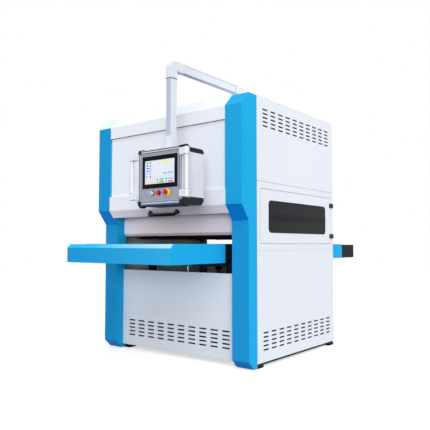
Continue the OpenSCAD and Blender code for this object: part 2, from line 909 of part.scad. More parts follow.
module hinge_bases() {
    color([0.10, 0.11, 0.12]) {
        for (z = [side_door_z0 + hinge_inset_z, side_door_z1 - hinge_inset_z])
            translate([hinge_x, hinge_y, z]) {
                box([half_w - hinge_x, knuckle_r + touch, -hinge_h / 2],
                    [half_w - hinge_x + leaf_t, leaf_w, hinge_h / 2]);
                cylinder(h = hinge_h, r = hinge_pin_r, center = true);
                for (s = [-1, 1]) translate([0, 0, s * hinge_h / 3]) {
                    cylinder(h = hinge_h / 3 - touch, r = knuckle_r, center = true);
                    box([half_w - hinge_x + touch, 0, touch - hinge_h / 6],
                        [half_w - hinge_x + leaf_t, knuckle_r + 2 * touch, hinge_h / 6 - touch]);
                }
            }
        both_sides() for (s = [-1, 1]) {
            x = door_hinge_x + s * (door_eye_w + door_lug_t + 2 * touch) / 2;
            low = door_hinge_z - door_pin_r;
            rise = door_hinge_z + door_pin_r;
            across(x - door_lug_t / 2, door_lug_t) polygon([[sheet_t, rise],
                [sheet_t, rise + door_lug_h], [door_lug_y, rise + door_lug_h], [door_lug_y, low],
                [door_hinge_y - door_lug_t, low], [door_hinge_y - door_lug_t, rise]]);
        }
        both_sides() rod_x(door_hinge_x - door_eye_w / 2 - door_lug_t,
            door_hinge_x + door_eye_w / 2 + door_lug_t, door_hinge_y, door_hinge_z, door_pin_r);
    }
}

module side_door() {
    color([0.91, 0.93, 0.96]) difference() {
        side_pan(side_door_y0, side_door_y1, side_door_z0, side_door_z1);
        across(half_w - pan_d, pan_d + overrun) translate([window_y, window_z])
            rounded(window_w, window_h, window_r);
    }
}

module side_window() {
    color([0.22, 0.25, 0.27, 0.8]) {
        across(half_w - sheet_t - window_t, window_t) translate([window_y, window_z])
            rounded(window_w + 2 * pane_lap, window_h + 2 * pane_lap, window_r + pane_lap);
        across(half_w - sheet_t - window_t, window_t + sheet_t) translate([window_y, window_z])
            rounded(window_w - touch * 2, window_h - touch * 2, window_r - touch);
    }
}

module hinge_leaves() {
    color([0.10, 0.11, 0.12])
        for (z = [side_door_z0 + hinge_inset_z, side_door_z1 - hinge_inset_z])
            translate([hinge_x, hinge_y, z]) difference() {
                union() {
                    box([half_w - hinge_x, -leaf_w, -hinge_h / 2],
                        [half_w - hinge_x + leaf_t, -knuckle_r - touch, hinge_h / 2]);
                    cylinder(h = hinge_h / 3 - touch, r = knuckle_r, center = true);
                    box([half_w - hinge_x + touch, -knuckle_r - 2 * touch, touch - hinge_h / 6],
                        [half_w - hinge_x + leaf_t, 0, hinge_h / 6 - touch]);
                }
                cylinder(h = hinge_h, r = hinge_pin_r + running, center = true);
            }
}

module front_door() {
    corner = function(d) inset(column_outline, -d)[0];
    outer = corner(touch + sheet_t);
    inner = corner(touch);
    end = slope * band_slope_l;
    band_half_w = column_x + band_lap;
    color([0.91, 0.93, 0.96]) difference() {
        union() {
            front_pan(door_half_w, door_inset, band_z - sheet_t, door_top);
            across(-band_half_w, 2 * band_half_w) polygon([[outer.x, band_z], outer,
                outer + end, inner + end, inner, [inner.x, band_z]]);
            box([-door_half_w, outer.x, band_z - sheet_t],
                [door_half_w, door_inset + pan_d, band_z]);
            both_sides() box([door_hinge_x - door_eye_w / 2, door_inset, door_hinge_z - door_eye_drop],
                [door_hinge_x + door_eye_w / 2, door_hinge_y + door_pin_r, door_hinge_z
                + door_pin_r]);
        }
        both_sides() rod_x(door_hinge_x - door_eye_w, door_hinge_x + door_eye_w, door_hinge_y,
            door_hinge_z, door_pin_r + running);
    }
}

module front_door_handle() {
    foot = pull_h * 0.6;
    half = pull_l / 2;
    seat = inset(column_outline, -touch - sheet_t)[0] + slope * band_slope_l / 2;
    color([0.10, 0.11, 0.12]) translate([0, seat.x, seat.y])
        rotate([atan2(slope_out.y, slope_out.x), 0, 0]) linear_extrude(pull_w, center = true)
            polygon([[-half, 0], [-half + foot, pull_h], [half - foot, pull_h], [half, 0],
                [half - pull_t, 0], [half - foot - pull_t / 2, pull_h - pull_t],
                [-half + foot + pull_t / 2, pull_h - pull_t], [-half + pull_t, 0]]);
}

// Side beams, the bearers bolted under them and the slider bed bolted between them
module conveyor_frame() {
    bearer_top = beam_z - touch;
    tie_x = beam_x - touch;
    color([0.15, 0.16, 0.18]) {
        difference() {
            both_sides() union() {
                box([beam_x, table_y0 + shroud_bevel + sheet_t, beam_z],
                    [beam_x + beam_t, table_y1 - shroud_bevel - sheet_t, beam_top]);
                box([beam_x + beam_t, table_y0 + shroud_l + touch, beam_z],
                    [table_half_w - sheet_t, table_y1 - shroud_l - touch, beam_top]);
            }
            for (y = [idler_y, drive_y])
                rod_x(-table_half_w, table_half_w, y, feed_axis_z, feed_shaft_r + running);
        }
        for (y = cross_ys)
            difference() {
                union() {
                    box([-beam_x - beam_t, y - bearer_w / 2, beam_z - bearer_h],
                        [beam_x + beam_t, y + bearer_w / 2, bearer_top]);
                    if (y != table_mid_y) both_sides()
                        rod_z(beam_z - bearer_h - bush_l, bearer_top, guide_x, y,
                            guide_bush_r);
                }
                if (y != table_mid_y) both_sides()
                    rod_z(beam_z - bearer_h - bush_l - overrun, beam_z + overrun, guide_x, y,
                        guide_r + running);
            }
        box([-bed_x, idler_y + feed_roller_r + belt_t * 4, bed_z], [bed_x,
            drive_y - feed_roller_r - belt_t * 4, bed_z + bed_t]);
        for (y = cross_ys)
            box([-tie_x, y - bearer_w / 2, bed_z - bed_tie_t],
                [tie_x, y + bearer_w / 2, bed_z]);
    }
}

// Blue cover of the infeed end, open towards the machine and over the belt
module shroud() {
    y1 = table_y0 + shroud_l;
    back = y1 + 2 * sheet_t;
    low = table_bottom;
    top = table_z;
    color([0.09, 0.57, 0.83]) difference() {
        across(-table_half_w, 2 * table_half_w) polygon([[table_y0, low], [table_y0, top - shroud_bevel],
            [table_y0 + shroud_bevel, top], [y1, top], [y1, low]]);
        across(-table_half_w + sheet_t, 2 * (table_half_w - sheet_t)) polygon(inset([[table_y0, low],
            [table_y0, top - shroud_bevel], [table_y0 + shroud_bevel, top], [back, top],
            [back, low]], sheet_t));
        box([-belt_w / 2 - 2 * sheet_t, idler_y - feed_roller_r - belt_t * 5, top - 2 * sheet_t],
            [belt_w / 2 + 2 * sheet_t, y1 + overrun, top + overrun]);
    }
}

module front_shroud() {
    shroud();
}

module rear_shroud() {
    difference() {
        translate([0, 2 * table_mid_y, 0]) mirror([0, 1, 0]) shroud();
        rod_x(-table_half_w - overrun, -beam_x, drive_y, feed_axis_z, feed_shaft_r + belt_t);
    }
}

module conveyor_belt() {
    a = [idler_y, feed_axis_z];
    b = [drive_y, feed_axis_z];
    r = feed_roller_r + feed_gap;
    color([0.42, 0.25, 0.20]) across(-belt_w / 2, belt_w) difference() {
        polygon(belt_path(a, r + belt_t, b, r + belt_t));
        polygon(belt_path(a, r, b, r));
    }
}

module conveyor_gearmotor() {
    x = -table_half_w - gearbox_t;
    half = gearbox_w / 2;
    color([0.18, 0.30, 0.40]) difference() {
        union() {
            box([x, drive_y - half, feed_axis_z - half], [-table_half_w, drive_y + half,
                feed_axis_z + half]);
            rod_y(drive_y - half - gear_motor_l, drive_y - half, x + gearbox_t / 2, feed_axis_z,
                gear_motor_r - gear_motor_step);
            rod_y(drive_y - half - gear_motor_l * 0.8, drive_y - half - gear_motor_l * 0.2,
                x + gearbox_t / 2, feed_axis_z, gear_motor_r);
        }
        rod_x(x + gearbox_t / 2, -table_half_w + overrun, drive_y, feed_axis_z,
            feed_shaft_r + running);
    }
}

module outfeed_rack() {
    x = table_half_w - sheet_t - loose;
    y1 = table_y1 + outfeed_l;
    z1 = table_z - sheet_t * 2;
    pitch = outfeed_l / rack_ribs;
    color([0.17, 0.19, 0.22]) difference() {
        box([-x, table_y1, table_bottom], [x, y1, z1]);
        box([-x + sheet_t, table_y1 + sheet_t, table_bottom - overrun],
            [x - sheet_t, y1 - sheet_t, z1 - sheet_t]);
        for (i = [0 : rack_ribs - 1])
            box([-x + rack_rib, table_y1 + (i + 0.5) * pitch - sheet_t * 3, z1 - 2 * sheet_t],
                [x - rack_rib, table_y1 + (i + 0.5) * pitch + sheet_t * 3, z1 + overrun]);
    }
}

module lift_screws() {
    top = beam_z - bearer_h;
    color([0.62, 0.64, 0.66]) both_sides() {
        rod_z(rail_top + screw_tip, top, jack_x, table_mid_y, screw_r);
        rod_z(top - screw_flange_t, top, jack_x, table_mid_y, screw_flange_r);
    }
}

module drive_roller() {
    color([0.62, 0.64, 0.66]) {
        rod_x(-belt_w / 2, belt_w / 2, drive_y, feed_axis_z, feed_roller_r);
        rod_x(-table_half_w - gearbox_t / 2 + belt_t, feed_shaft_end, drive_y, feed_axis_z,
            feed_shaft_r);
    }
}

module idler_roller() {
    color([0.62, 0.64, 0.66]) {
        rod_x(-belt_w / 2, belt_w / 2, idler_y, feed_axis_z, feed_roller_r);
        rod_x(-feed_shaft_end, feed_shaft_end, idler_y, feed_axis_z, feed_shaft_r);
    }
}

module lift_shaft() {
    end = jack_x - lift_shaft_off - shaft_end_gap;
    color([0.62, 0.64, 0.66])
        rod_x(-end, end, table_mid_y - lift_shaft_off, lift_shaft_z, lift_shaft_r);
}

module contact_roller() {
    end = head_plate_x + head_plate_t + housing_t;
    color([0.16, 0.16, 0.17]) {
        rod_x(-abrasive_w / 2, abrasive_w / 2, contact_y, contact_z, contact_r);
        rod_x(pulley_x, end, contact_y, contact_z, head_shaft_r);
        rod_x(pulley_x, pulley_x + pulley_w, contact_y, contact_z, drive_pulley_r);
    }
}

module tension_roller() {
    end = head_plate_x + head_plate_t + housing_t;
    color([0.62, 0.64, 0.66]) {
        rod_x(-abrasive_w / 2, abrasive_w / 2, contact_y, tension_z, tension_r);
        rod_x(-end, end, contact_y, tension_z, head_shaft_r);
    }
}

module motor_pulley() {
    color([0.40, 0.42, 0.45]) {
        rod_x(pulley_x, pulley_x + pulley_w, motor_y, motor_z, motor_pulley_r);
        rod_x(pulley_x, motor_x0 + motor_l / 2 - overrun, motor_y, motor_z, motor_shaft_r);
    }
}

module brush_disc(i) {
    plate_z = head_z + flap_h;
    color([0.55, 0.30, 0.12]) translate([disc_x(i), disc_y(i), 0]) {
        difference() {
            rod_z(head_z, plate_z + disc_plate_t, 0, 0, disc_r);
            rod_z(head_z - overrun, plate_z, 0, 0, flap_bore_r);
            for (k = [0 : flap_count - 1]) rotate([0, 0, k * 360 / flap_count])
                box([flap_bore_r - overrun, -flap_slot / 2, head_z - overrun],
                    [disc_r + overrun, flap_slot / 2, plate_z]);
        }
        rod_z(plate_z, plate_z + disc_plate_t + disc_hub_h, 0, 0, disc_hub_r);
        rod_z(plate_z, gearbox_z + spindle_l, 0, 0, spindle_r);
    }
}

module brush_disc_1() {
    brush_disc(0);
}

module brush_disc_2() {
    brush_disc(1);
}

module brush_disc_3() {
    brush_disc(2);
}

module brush_disc_4() {
    brush_disc(3);
}

module pinch_roller(y) {
    color([0.25, 0.26, 0.28]) {
        rod_x(-pinch_half_l, pinch_half_l, y, head_z + pinch_r, pinch_r);
        rod_x(-bracket_x - bracket_t, bracket_x + bracket_t, y, head_z + pinch_r, pinch_shaft_r);
    }
}

module pinch_roller_1() {
    pinch_roller(pinch_front_y);
}

module pinch_roller_2() {
    pinch_roller(pinch_rear_y);
}

module arm_profiles() {
    color([0.90, 0.92, 0.95]) {
        box([arm_x - arm_w / 2, arm_front_y, arm_z],
            [arm_x + arm_w / 2, arm_rear_y, arm_z + arm_h]);
        box([arm_x - arm_w / 2, tube_y - arm_h / 2, tube_end_z + touch],
            [arm_x + arm_w / 2, tube_y + arm_h / 2, elbow_drop]);
        rod_z(tube_end_z - swivel_l, tube_end_z + overrun, arm_x, tube_y, swivel_r);
    }
}

// Cast elbow, the outer corner rounded: y0 is its outer side, y1 where the beam enters
module elbow(y0, y1, leg_y1, z0) {
    z1 = arm_z + arm_h + elbow_wall;
    under = arm_z - elbow_wall;
    s = sign(y1 - y0);
    across(arm_x - arm_w / 2 - elbow_wall, arm_w + 2 * elbow_wall)
        polygon(concat([[y1, z1]], arc([y0 + s * elbow_r, z1 - elbow_r], elbow_r, 90,
            s > 0 ? 180 : 0), [[y0, z0], [leg_y1, z0], [leg_y1, under], [y1, under]]));
}

module arm_elbows() {
    tube_back = tube_y + arm_h / 2 + elbow_wall;
    pivot_front = arm_pivot_y - neck_r - elbow_wall;
    color([0.80, 0.82, 0.85]) {
        elbow(tube_y - arm_h / 2 - elbow_wall, arm_front_y, tube_back, elbow_drop);
        difference() {
            elbow(arm_pivot_y + neck_r + elbow_wall, arm_rear_y, pivot_front, elbow_foot_z);
            rod_z(elbow_foot_z - overrun, arm_z + arm_h / 2 + touch, arm_x, arm_pivot_y,
                arm_pin_r + running);
        }
    }
}

module panel_collar() {
    color([0.75, 0.77, 0.80]) difference() {
        box([arm_x - collar_w / 2, tube_y - collar_d / 2, box_top],
            [arm_x + collar_w / 2, tube_y + collar_d / 2, tube_end_z]);
        rod_z(tube_end_z - swivel_l - touch, tube_end_z + overrun, arm_x, tube_y,
            swivel_r + running);
    }
}

module panel_housing() {
    w = box_w / 2 - housing_in;
    low = box_z + low_strip_h;
    high = box_top - strip_h;
    color([0.86, 0.87, 0.90]) difference() {
        box([arm_x - w, frame_back, low], [arm_x + w, housing_back, high]);
        box([arm_x - w + sheet_t, frame_back - overrun, low - overrun],
            [arm_x + w - sheet_t, housing_back - sheet_t, high + overrun]);
    }
}

module panel_frame() {
    step = frame_w / 3;
    deep = sheet_t + face_t;
    color([0.80, 0.82, 0.85]) difference() {
        box([box_x0, box_front, box_z], [box_x1, frame_back, box_top]);
        box([box_x0 + frame_w, box_front - overrun, box_z + frame_w],
            [box_x1 - frame_w, frame_back + overrun, box_top - frame_w]);
        box([box_x0 + frame_w - step, box_front - overrun, box_z + frame_w - step],
            [box_x1 - frame_w + step, box_front + sheet_t, box_top - frame_w + step]);
        for (x = [box_x0, box_x1]) box([x - sheet_t, box_front + frame_d / 3, box_z - overrun],
            [x + sheet_t, box_front + frame_d / 3 + deep, box_top + overrun]);
        for (z = [box_z, box_top]) box([box_x0 - overrun, box_front + frame_d / 3, z - sheet_t],
            [box_x1 + overrun, box_front + frame_d / 3 + deep, z + sheet_t]);
    }
}

module panel_corners() {
    w = box_w / 2 - housing_in;
    mid_y = (box_front + frame_back) / 2;
    r = frame_d / 2;
    color([0.10, 0.11, 0.12]) {
        for (x = [box_x0 - cap_proud, box_x1 - cap_w + cap_proud], top = [0, 1])
            difference() {
                rod_x(x, x + cap_w, mid_y, top ? box_top - cap_w : box_z + cap_w, r);
                box([box_x0, box_front - overrun, box_z], [box_x1, frame_back + overrun, box_top]);
                box([box_x0 - cap_w, box_front - overrun, grip_z0 - touch],
                    [box_x1 + cap_w, frame_back + overrun, grip_z1 + touch]);
            }
        across(arm_x - w, 2 * w) polygon([[frame_back, box_top - strip_h], [frame_back, box_top],
            [housing_back - strip_h / 2, box_top], [housing_back, box_top - strip_h / 2],
            [housing_back, box_top - strip_h]]);
        across(arm_x - w, 2 * w) polygon([[frame_back, box_z], [frame_back, box_z + low_strip_h],
            [housing_back, box_z + low_strip_h], [housing_back, box_z + low_strip_h / 2],
            [housing_back - low_strip_h / 2, box_z]]);
    }
}

module panel_face() {
    y = box_front + face_recess;
    color([0.55, 0.59, 0.65]) difference() {
        union() {
            box([box_x0 + frame_w, y, box_z + frame_w],
                [box_x1 - frame_w, y + face_t, box_top - frame_w]);
            rod_y(y - ring_t, y, estop_x, control_z, ring_r * 1.5);
        }
        for (x = [selector_x, button_x, estop_x])
            rod_y(y - overrun, y + face_t + overrun, x, control_z, stem_r + running);
    }
}

module screen_bezel() {
    y = box_front + face_recess;
    w = screen_w / 2 + screen_edge;
    h = screen_h / 2 + screen_rim;
    color([0.08, 0.09, 0.10]) {
        difference() {
            box([screen_mid_x - w, y - bezel_t, screen_mid_z - h],
                [screen_mid_x + w, y, screen_mid_z + h]);
            box([screen_mid_x - screen_w / 2, y - bezel_t - overrun, screen_mid_z - screen_h / 2],
                [screen_mid_x + screen_w / 2, y + overrun, screen_mid_z + screen_h / 2]);
        }
        for (x = [selector_x, button_x]) difference() {
            rod_y(y - ring_t, y, x, control_z, ring_r);
            rod_y(y - ring_t - overrun, y + overrun, x, control_z, stem_r + running);
        }
    }
}

module touch_screen() {
    y = box_front + face_recess;
    color([0.93, 0.94, 0.96]) box([screen_mid_x - screen_w / 2, y - bezel_t / 2,
        screen_mid_z - screen_h / 2], [screen_mid_x + screen_w / 2, y, screen_mid_z
        + screen_h / 2]);
}

module panel_handles() {
    color([0.90, 0.92, 0.95]) for (s = [-1, 1]) {
        side = arm_x + s * box_w / 2;
        x = side + s * grip_off;
        rod_z(grip_z0, grip_z1, x, grip_y, grip_r);
        for (z = [grip_z0, grip_z1 - socket_h]) {
            rod_z(z, z + socket_h, x, grip_y, grip_r + sheet_t);
            box([min(side, x), grip_y - grip_r, z],
                [max(side, x), grip_y + grip_r * 2, z + socket_h]);
        }
    }
}

module control(x, r, stand, head_l) {
    y = box_front + face_recess;
    rod_y(y - stand - head_l, y - stand, x, control_z, r);
    rod_y(y - stand - head_l / 2, y + face_t + stem_l / 2, x, control_z, stem_r);
}

module selector_knob() {
    y = box_front + face_recess - ring_t - touch;
    color([0.80, 0.82, 0.84]) {
        control(selector_x, ring_r * 0.8, ring_t + touch, knob_l / 3);
        box([selector_x - ring_r * 0.25, y - knob_l, control_z - ring_r * 0.75],
            [selector_x + ring_r * 0.25, y, control_z + ring_r * 0.75]);
    }
}

module red_button() {
    color([0.85, 0.07, 0.10])
        control(button_x, ring_r * 0.9, ring_t + button_travel + touch, knob_l / 2);
}

module estop_button() {
    stand = ring_t + estop_travel + touch;
    y = box_front + face_recess - stand;
    color([0.85, 0.07, 0.10]) {
        control(estop_x, ring_r * 0.8, stand, knob_l);
        rod_y(y - knob_l, y - knob_l / 3, estop_x, control_z, ring_r * 1.15);
    }
}

placed() base_frame();
placed() main_frame();
placed() left_column_cover();
placed() right_column_cover();
placed() lower_side_panels();
placed() upper_side_panels();
placed() side_door_surround();
placed() left_middle_panel();
placed() roof_cover();
placed() front_fascia();
placed() front_panels();
placed() rear_panels();
placed() extraction_duct();
placed() belt_head_frame();
placed() belt_motor();
placed() v_belt();
placed() abrasive_belt();
placed() brush_gearbox();
placed() pinch_brackets();
placed() arm_base();
placed() lift_jacks();
placed() lift_motor();
placed() hinge_bases();
placed() side_door();
placed() side_window();
placed() hinge_leaves();
placed() front_door();
placed() front_door_handle();
placed() conveyor_frame();
placed() front_shroud();
placed() rear_shroud();
placed() conveyor_belt();
placed() conveyor_gearmotor();
placed() outfeed_rack();
placed() lift_screws();
placed() drive_roller();
placed() idler_roller();
placed() lift_shaft();
placed() contact_roller();
placed() tension_roller();
placed() motor_pulley();
placed() brush_disc_1();
placed() brush_disc_2();
placed() brush_disc_3();
placed() brush_disc_4();
placed() pinch_roller_1();
placed() pinch_roller_2();
placed() arm_profiles();
placed() arm_elbows();
placed() panel_collar();
placed() panel_housing();
placed() panel_frame();
placed() panel_corners();
placed() panel_face();
placed() screen_bezel();
placed() touch_screen();
placed() panel_handles();
placed() selector_knob();
placed() red_button();
placed() estop_button();
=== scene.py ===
"""Looks of the through-feed deburring machine: materials, small parts and the studio around it."""

import json
import math

import bmesh
import bpy
from mathutils import Matrix, Vector


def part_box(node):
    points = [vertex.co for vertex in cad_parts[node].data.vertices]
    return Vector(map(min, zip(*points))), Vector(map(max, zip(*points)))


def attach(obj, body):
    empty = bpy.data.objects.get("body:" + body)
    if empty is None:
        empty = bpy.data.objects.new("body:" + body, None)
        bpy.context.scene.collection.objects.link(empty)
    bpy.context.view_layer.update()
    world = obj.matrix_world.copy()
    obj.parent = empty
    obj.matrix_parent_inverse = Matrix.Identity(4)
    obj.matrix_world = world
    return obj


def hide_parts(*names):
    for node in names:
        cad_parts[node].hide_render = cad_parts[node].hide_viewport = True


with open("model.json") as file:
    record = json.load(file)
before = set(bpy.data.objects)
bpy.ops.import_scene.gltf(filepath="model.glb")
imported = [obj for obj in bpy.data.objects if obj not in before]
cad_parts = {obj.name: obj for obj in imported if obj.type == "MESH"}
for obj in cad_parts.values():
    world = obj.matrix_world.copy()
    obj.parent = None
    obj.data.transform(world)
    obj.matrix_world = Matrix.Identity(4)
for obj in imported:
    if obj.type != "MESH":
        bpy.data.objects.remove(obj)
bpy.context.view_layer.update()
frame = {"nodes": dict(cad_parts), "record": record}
NODES = frame["nodes"]
MM = 0.001
# Sizes of the added pieces are in millimetres, y counted from the front of the columns
ORIGIN_Y = 807.0
# Depth of the face plate behind the panel's front, and reach of the grips before it
FACE_RECESS = 5.0
GRIP_PROUD = 14.0
PANEL_SCREW = 2.6
SIDES = (("right", 1), ("left", -1))

# Camera
EYE = Vector((2.9439, -3.8912, 0.8982))
HEADING = math.radians(38.06)
PITCH = math.radians(3.124)
LENS = 45.0
SENSOR = 36.0

# Studio
SKY = (0.95, 0.97, 1.0, 1.0)
SKY_STRENGTH = 0.55
FLOOR_HALF = 14.0
FLOOR_GREY = (0.34, 0.35, 0.37)
FLOOR_WHITE = 0.62
FLOOR_PALE = (0.6, 0.6, 0.6, 1.0)
KEY_FROM = (0.51, -0.34, 0.79)
KEY_STRENGTH = 1.9
KEY_SOFTNESS = 60.0
FILL_FROM = (0.60, -0.79, 0.10)
FILL_STRENGTH = 1.4
FILL_SOFTNESS = 25.0


def make_camera():
    """Camera to the right of the front, at the height of the table."""
    data = bpy.data.cameras.new("camera")
    data.lens = LENS
    data.sensor_width = SENSOR
    camera = bpy.data.objects.new("camera", data)
    bpy.context.scene.collection.objects.link(camera)
    forward = Vector((-math.sin(HEADING) * math.cos(PITCH), math.cos(HEADING) * math.cos(PITCH),
                      math.sin(PITCH)))
    camera.location = EYE
    camera.rotation_mode = "QUATERNION"
    camera.rotation_quaternion = forward.to_track_quat("-Z", "Y")
    bpy.context.scene.camera = camera


# Materials

BEVEL_SAMPLES = 6
# Places of the two colours and the result among a colour mix node's sockets
MIX_A, MIX_B, MIX_OUT = 6, 7, 2


class Paint:
    """A material under construction: its node tree and its main shader."""

    def __init__(self, name, colour, rough, metal=0.0, gloss=0.5, **sockets):
        self.material = bpy.data.materials.new(name)
        self.material.use_nodes = True
        self.tree = self.material.node_tree
        self.shader = self.tree.nodes["Principled BSDF"]
        self.shader.inputs["Base Color"].default_value = (*colour, 1.0)
        self.shader.inputs["Roughness"].default_value = rough
        self.shader.inputs["Metallic"].default_value = metal
        self.shader.inputs["Specular IOR Level"].default_value = gloss
        for socket, value in sockets.items():
            self.shader.inputs[socket.replace("_", " ")].default_value = value

    def node(self, kind, **inputs):
        """A new node with values in its sockets."""
        made = self.tree.nodes.new(kind)
        for key, value in inputs.items():
            made.inputs[key.replace("_", " ")].default_value = value
        return made

    def link(self, a, b):
        self.tree.links.new(a, b)

    def where(self, axis):
        """One of the surface's own coordinates, in metres."""
        split = self.node("ShaderNodeSeparateXYZ")
        self.link(self.node("ShaderNodeTexCoord").outputs["Object"], split.inputs[0])
        return split.outputs[axis]

    def facing(self, direction):
        """1 where the surface faces along a direction, 0 square to it."""
        shape = self.tree.nodes.new("ShaderNodeNewGeometry")
        dot = self.tree.nodes.new("ShaderNodeVectorMath")
        dot.operation = "DOT_PRODUCT"
        dot.inputs[1].default_value = Vector(direction).normalized()
        self.link(shape.outputs["True Normal"], dot.inputs[0])
        return dot.outputs["Value"]

    def product(self, a, b):
        """Two sockets multiplied."""
        made = self.tree.nodes.new("ShaderNodeMath")
        made.operation = "MULTIPLY"
        self.link(a, made.inputs[0])
        self.link(b, made.inputs[1])
        return made.outputs[0]

    def place(self, stretch=(1.0, 1.0, 1.0)):
        """The surface's own coordinates in metres, stretched."""
        where = self.node("ShaderNodeTexCoord")
        mapping = self.node("ShaderNodeMapping", Scale=stretch)
        self.link(where.outputs["Object"], mapping.inputs["Vector"])
        return mapping.outputs["Vector"]

    def noise(self, scale, detail=3.0, stretch=(1.0, 1.0, 1.0), rough=0.55):
        """Noise in the surface's own coordinates."""
        made = self.node("ShaderNodeTexNoise", Scale=scale, Detail=detail, Roughness=rough)
        self.link(self.place(stretch), made.inputs["Vector"])
        return made.outputs["Fac"]

    def ramp(self, source, low, high, out_low=0.0, out_high=1.0):
        """One range of a socket spread over another and held at its ends."""
        made = self.node("ShaderNodeMapRange", From_Min=low, From_Max=high, To_Min=out_low,
                         To_Max=out_high)
        made.clamp = True
        self.link(source, made.inputs["Value"])
        return made.outputs["Result"]

    def edges(self, radius):
        """1 where the surface turns over an edge, 0 on the flats."""
        bevel = self.tree.nodes.new("ShaderNodeBevel")
        bevel.samples = BEVEL_SAMPLES
        bevel.inputs["Radius"].default_value = radius
        shape = self.tree.nodes.new("ShaderNodeNewGeometry")
        dot = self.tree.nodes.new("ShaderNodeVectorMath")
        dot.operation = "DOT_PRODUCT"
        self.link(bevel.outputs["Normal"], dot.inputs[0])
        self.link(shape.outputs["Normal"], dot.inputs[1])
        return self.ramp(dot.outputs["Value"], 0.995, 0.8)

    def mix(self, factor, a, b):
        """Blend of two colours, each a triple or a socket, by a factor socket."""
        made = self.tree.nodes.new("ShaderNodeMix")
        made.data_type = "RGBA"
        for index, value in ((MIX_A, a), (MIX_B, b)):
            if isinstance(value, tuple):
                made.inputs[index].default_value = (*value, 1.0)
            else:
                self.link(value, made.inputs[index])
        self.link(factor, made.inputs[0])
        return made.outputs[MIX_OUT]

    def colour(self, socket):
        self.link(socket, self.shader.inputs["Base Color"])

    def roughness(self, socket):
        self.link(socket, self.shader.inputs["Roughness"])

    def bump(self, height, strength, distance, edge=0.0):
        """Relief from a height socket; edge is the radius its edges are rounded by."""
        made = self.node("ShaderNodeBump", Strength=strength, Distance=distance)
        self.link(height, made.inputs["Height"])
        if edge:
            bevel = self.tree.nodes.new("ShaderNodeBevel")
            bevel.samples = BEVEL_SAMPLES
            bevel.inputs["Radius"].default_value = edge
            self.link(bevel.outputs["Normal"], made.inputs["Normal"])
        self.link(made.outputs["Normal"], self.shader.inputs["Normal"])


def shade(colour, factor):
    """A colour made darker or lighter."""
    return tuple(min(1.0, channel * factor) for channel in colour)


def coat(name, colour, rough=0.34, gloss=0.2, edge=0.0035, drift=0.05, edge_highlight=1.15, painted_light=None):
    """Sprayed paint on sheet metal: fine orange peel, slow drift of tone and a painted highlight that makes
    the edges paler.
    The painted light function takes the paint and its colour socket, and gives back the socket to use."""
    paint = Paint(name, colour, rough, gloss=gloss)
    drifted = paint.mix(paint.ramp(paint.noise(1.7), 0.35, 0.65), shade(colour, 1.0 - drift),
                        shade(colour, 1.0 + drift))
    tone = painted_light(paint, drifted) if painted_light else drifted
    # Painted highlight: the edges are made paler by the edge factor.
    if edge_highlight != 1.0:
        tone = paint.mix(paint.edges(edge), tone, shade(colour, edge_highlight))
    paint.colour(tone)
    paint.roughness(paint.ramp(paint.noise(9.0, 5.0), 0.3, 0.7, rough - 0.05, rough + 0.08))
    paint.bump(paint.noise(420.0, 2.0), 0.1, 0.0005, edge)
    return paint.material


# Painted shade and painted highlight: blues that stand for the light on faces by the way they face and
# where they sit, not colours of the paint.
UNDER_SHADE_BLUE = (0.002, 0.25, 0.74)
SHROUD_BRIGHT_REFLECTION_BLUE = (0.42, 0.78, 0.98)
SHROUD_DIM_REFLECTION_BLUE = (0.012, 0.46, 0.80)
TOP_SHADE_BLUE = (0.008, 0.36, 0.67)
FRONT_SHADE_BLUE = (0.016, 0.36, 0.69)
LOW_FRONT_SHADE_BLUE = (0.014, 0.31, 0.65)
LEFT_FRONT_SHADE_BLUE = (0.012, 0.285, 0.615)
SHROUD_RIGHT_LIT_BLUE = (0.03, 0.41, 0.76)
UP_FRONT = (0.0, -0.7, 0.7)
FRONT = (0.0, -1.0, 0.0)
DOWN_FRONT = (0.0, -0.6, -0.8)


def blue_painted_shade(paint, tone):
    """Painted shade: faces that look forward, down or up a slope take darker blues, and the fronts are
    darker still towards the bottom.
    """
    front = paint.mix(paint.ramp(paint.where("Z"), 1.05, 1.20), LOW_FRONT_SHADE_BLUE, FRONT_SHADE_BLUE)
    top_shaded = paint.mix(paint.ramp(paint.facing(UP_FRONT), 0.85, 0.98), tone, TOP_SHADE_BLUE)
    return front_and_under_painted_shade(paint, top_shaded, front)


def front_and_under_painted_shade(paint, tone, front):
    """Painted shade: darker blues for faces that look ahead and down."""
    ahead = paint.mix(paint.ramp(paint.facing(FRONT), 0.86, 0.98), tone, front)
    return paint.mix(paint.ramp(paint.facing(DOWN_FRONT), 0.7, 0.95), ahead, UNDER_SHADE_BLUE)


def left_column_painted_light(paint, tone):
    """Painted highlight on the sloping top of this column, over painted shade on its front and underside.
    """
    return paint.mix(paint.ramp(paint.facing(UP_FRONT), 0.85, 0.98),
                     front_and_under_painted_shade(paint, tone, LEFT_FRONT_SHADE_BLUE), (0.62, 0.80, 0.90))


def shroud_painted_light(paint, tone):
    """Painted reflection on the sloping front edge of the table, brighter towards the right, and painted
    light on its front, darker on the left and lighter on the right.
    """
    shine = paint.mix(paint.ramp(paint.where("X"), -0.25, 0.60), SHROUD_DIM_REFLECTION_BLUE, SHROUD_BRIGHT_REFLECTION_BLUE)
    front = paint.mix(paint.ramp(paint.where("X"), -0.4, 0.55), LOW_FRONT_SHADE_BLUE, SHROUD_RIGHT_LIT_BLUE)
    ahead = paint.mix(paint.ramp(paint.facing(FRONT), 0.86, 0.98), tone, front)
    return paint.mix(paint.ramp(paint.facing(UP_FRONT), 0.85, 0.98), ahead, shine)


def door_painted_bounce_light(paint, tone):
    """Painted bounce light: the band's down-facing slope is painted a paler violet, as light thrown up from
    the work opening.
    """
    return paint.mix(paint.ramp(paint.facing(DOWN_FRONT), 0.7, 0.95), tone, (0.92, 0.90, 0.98))


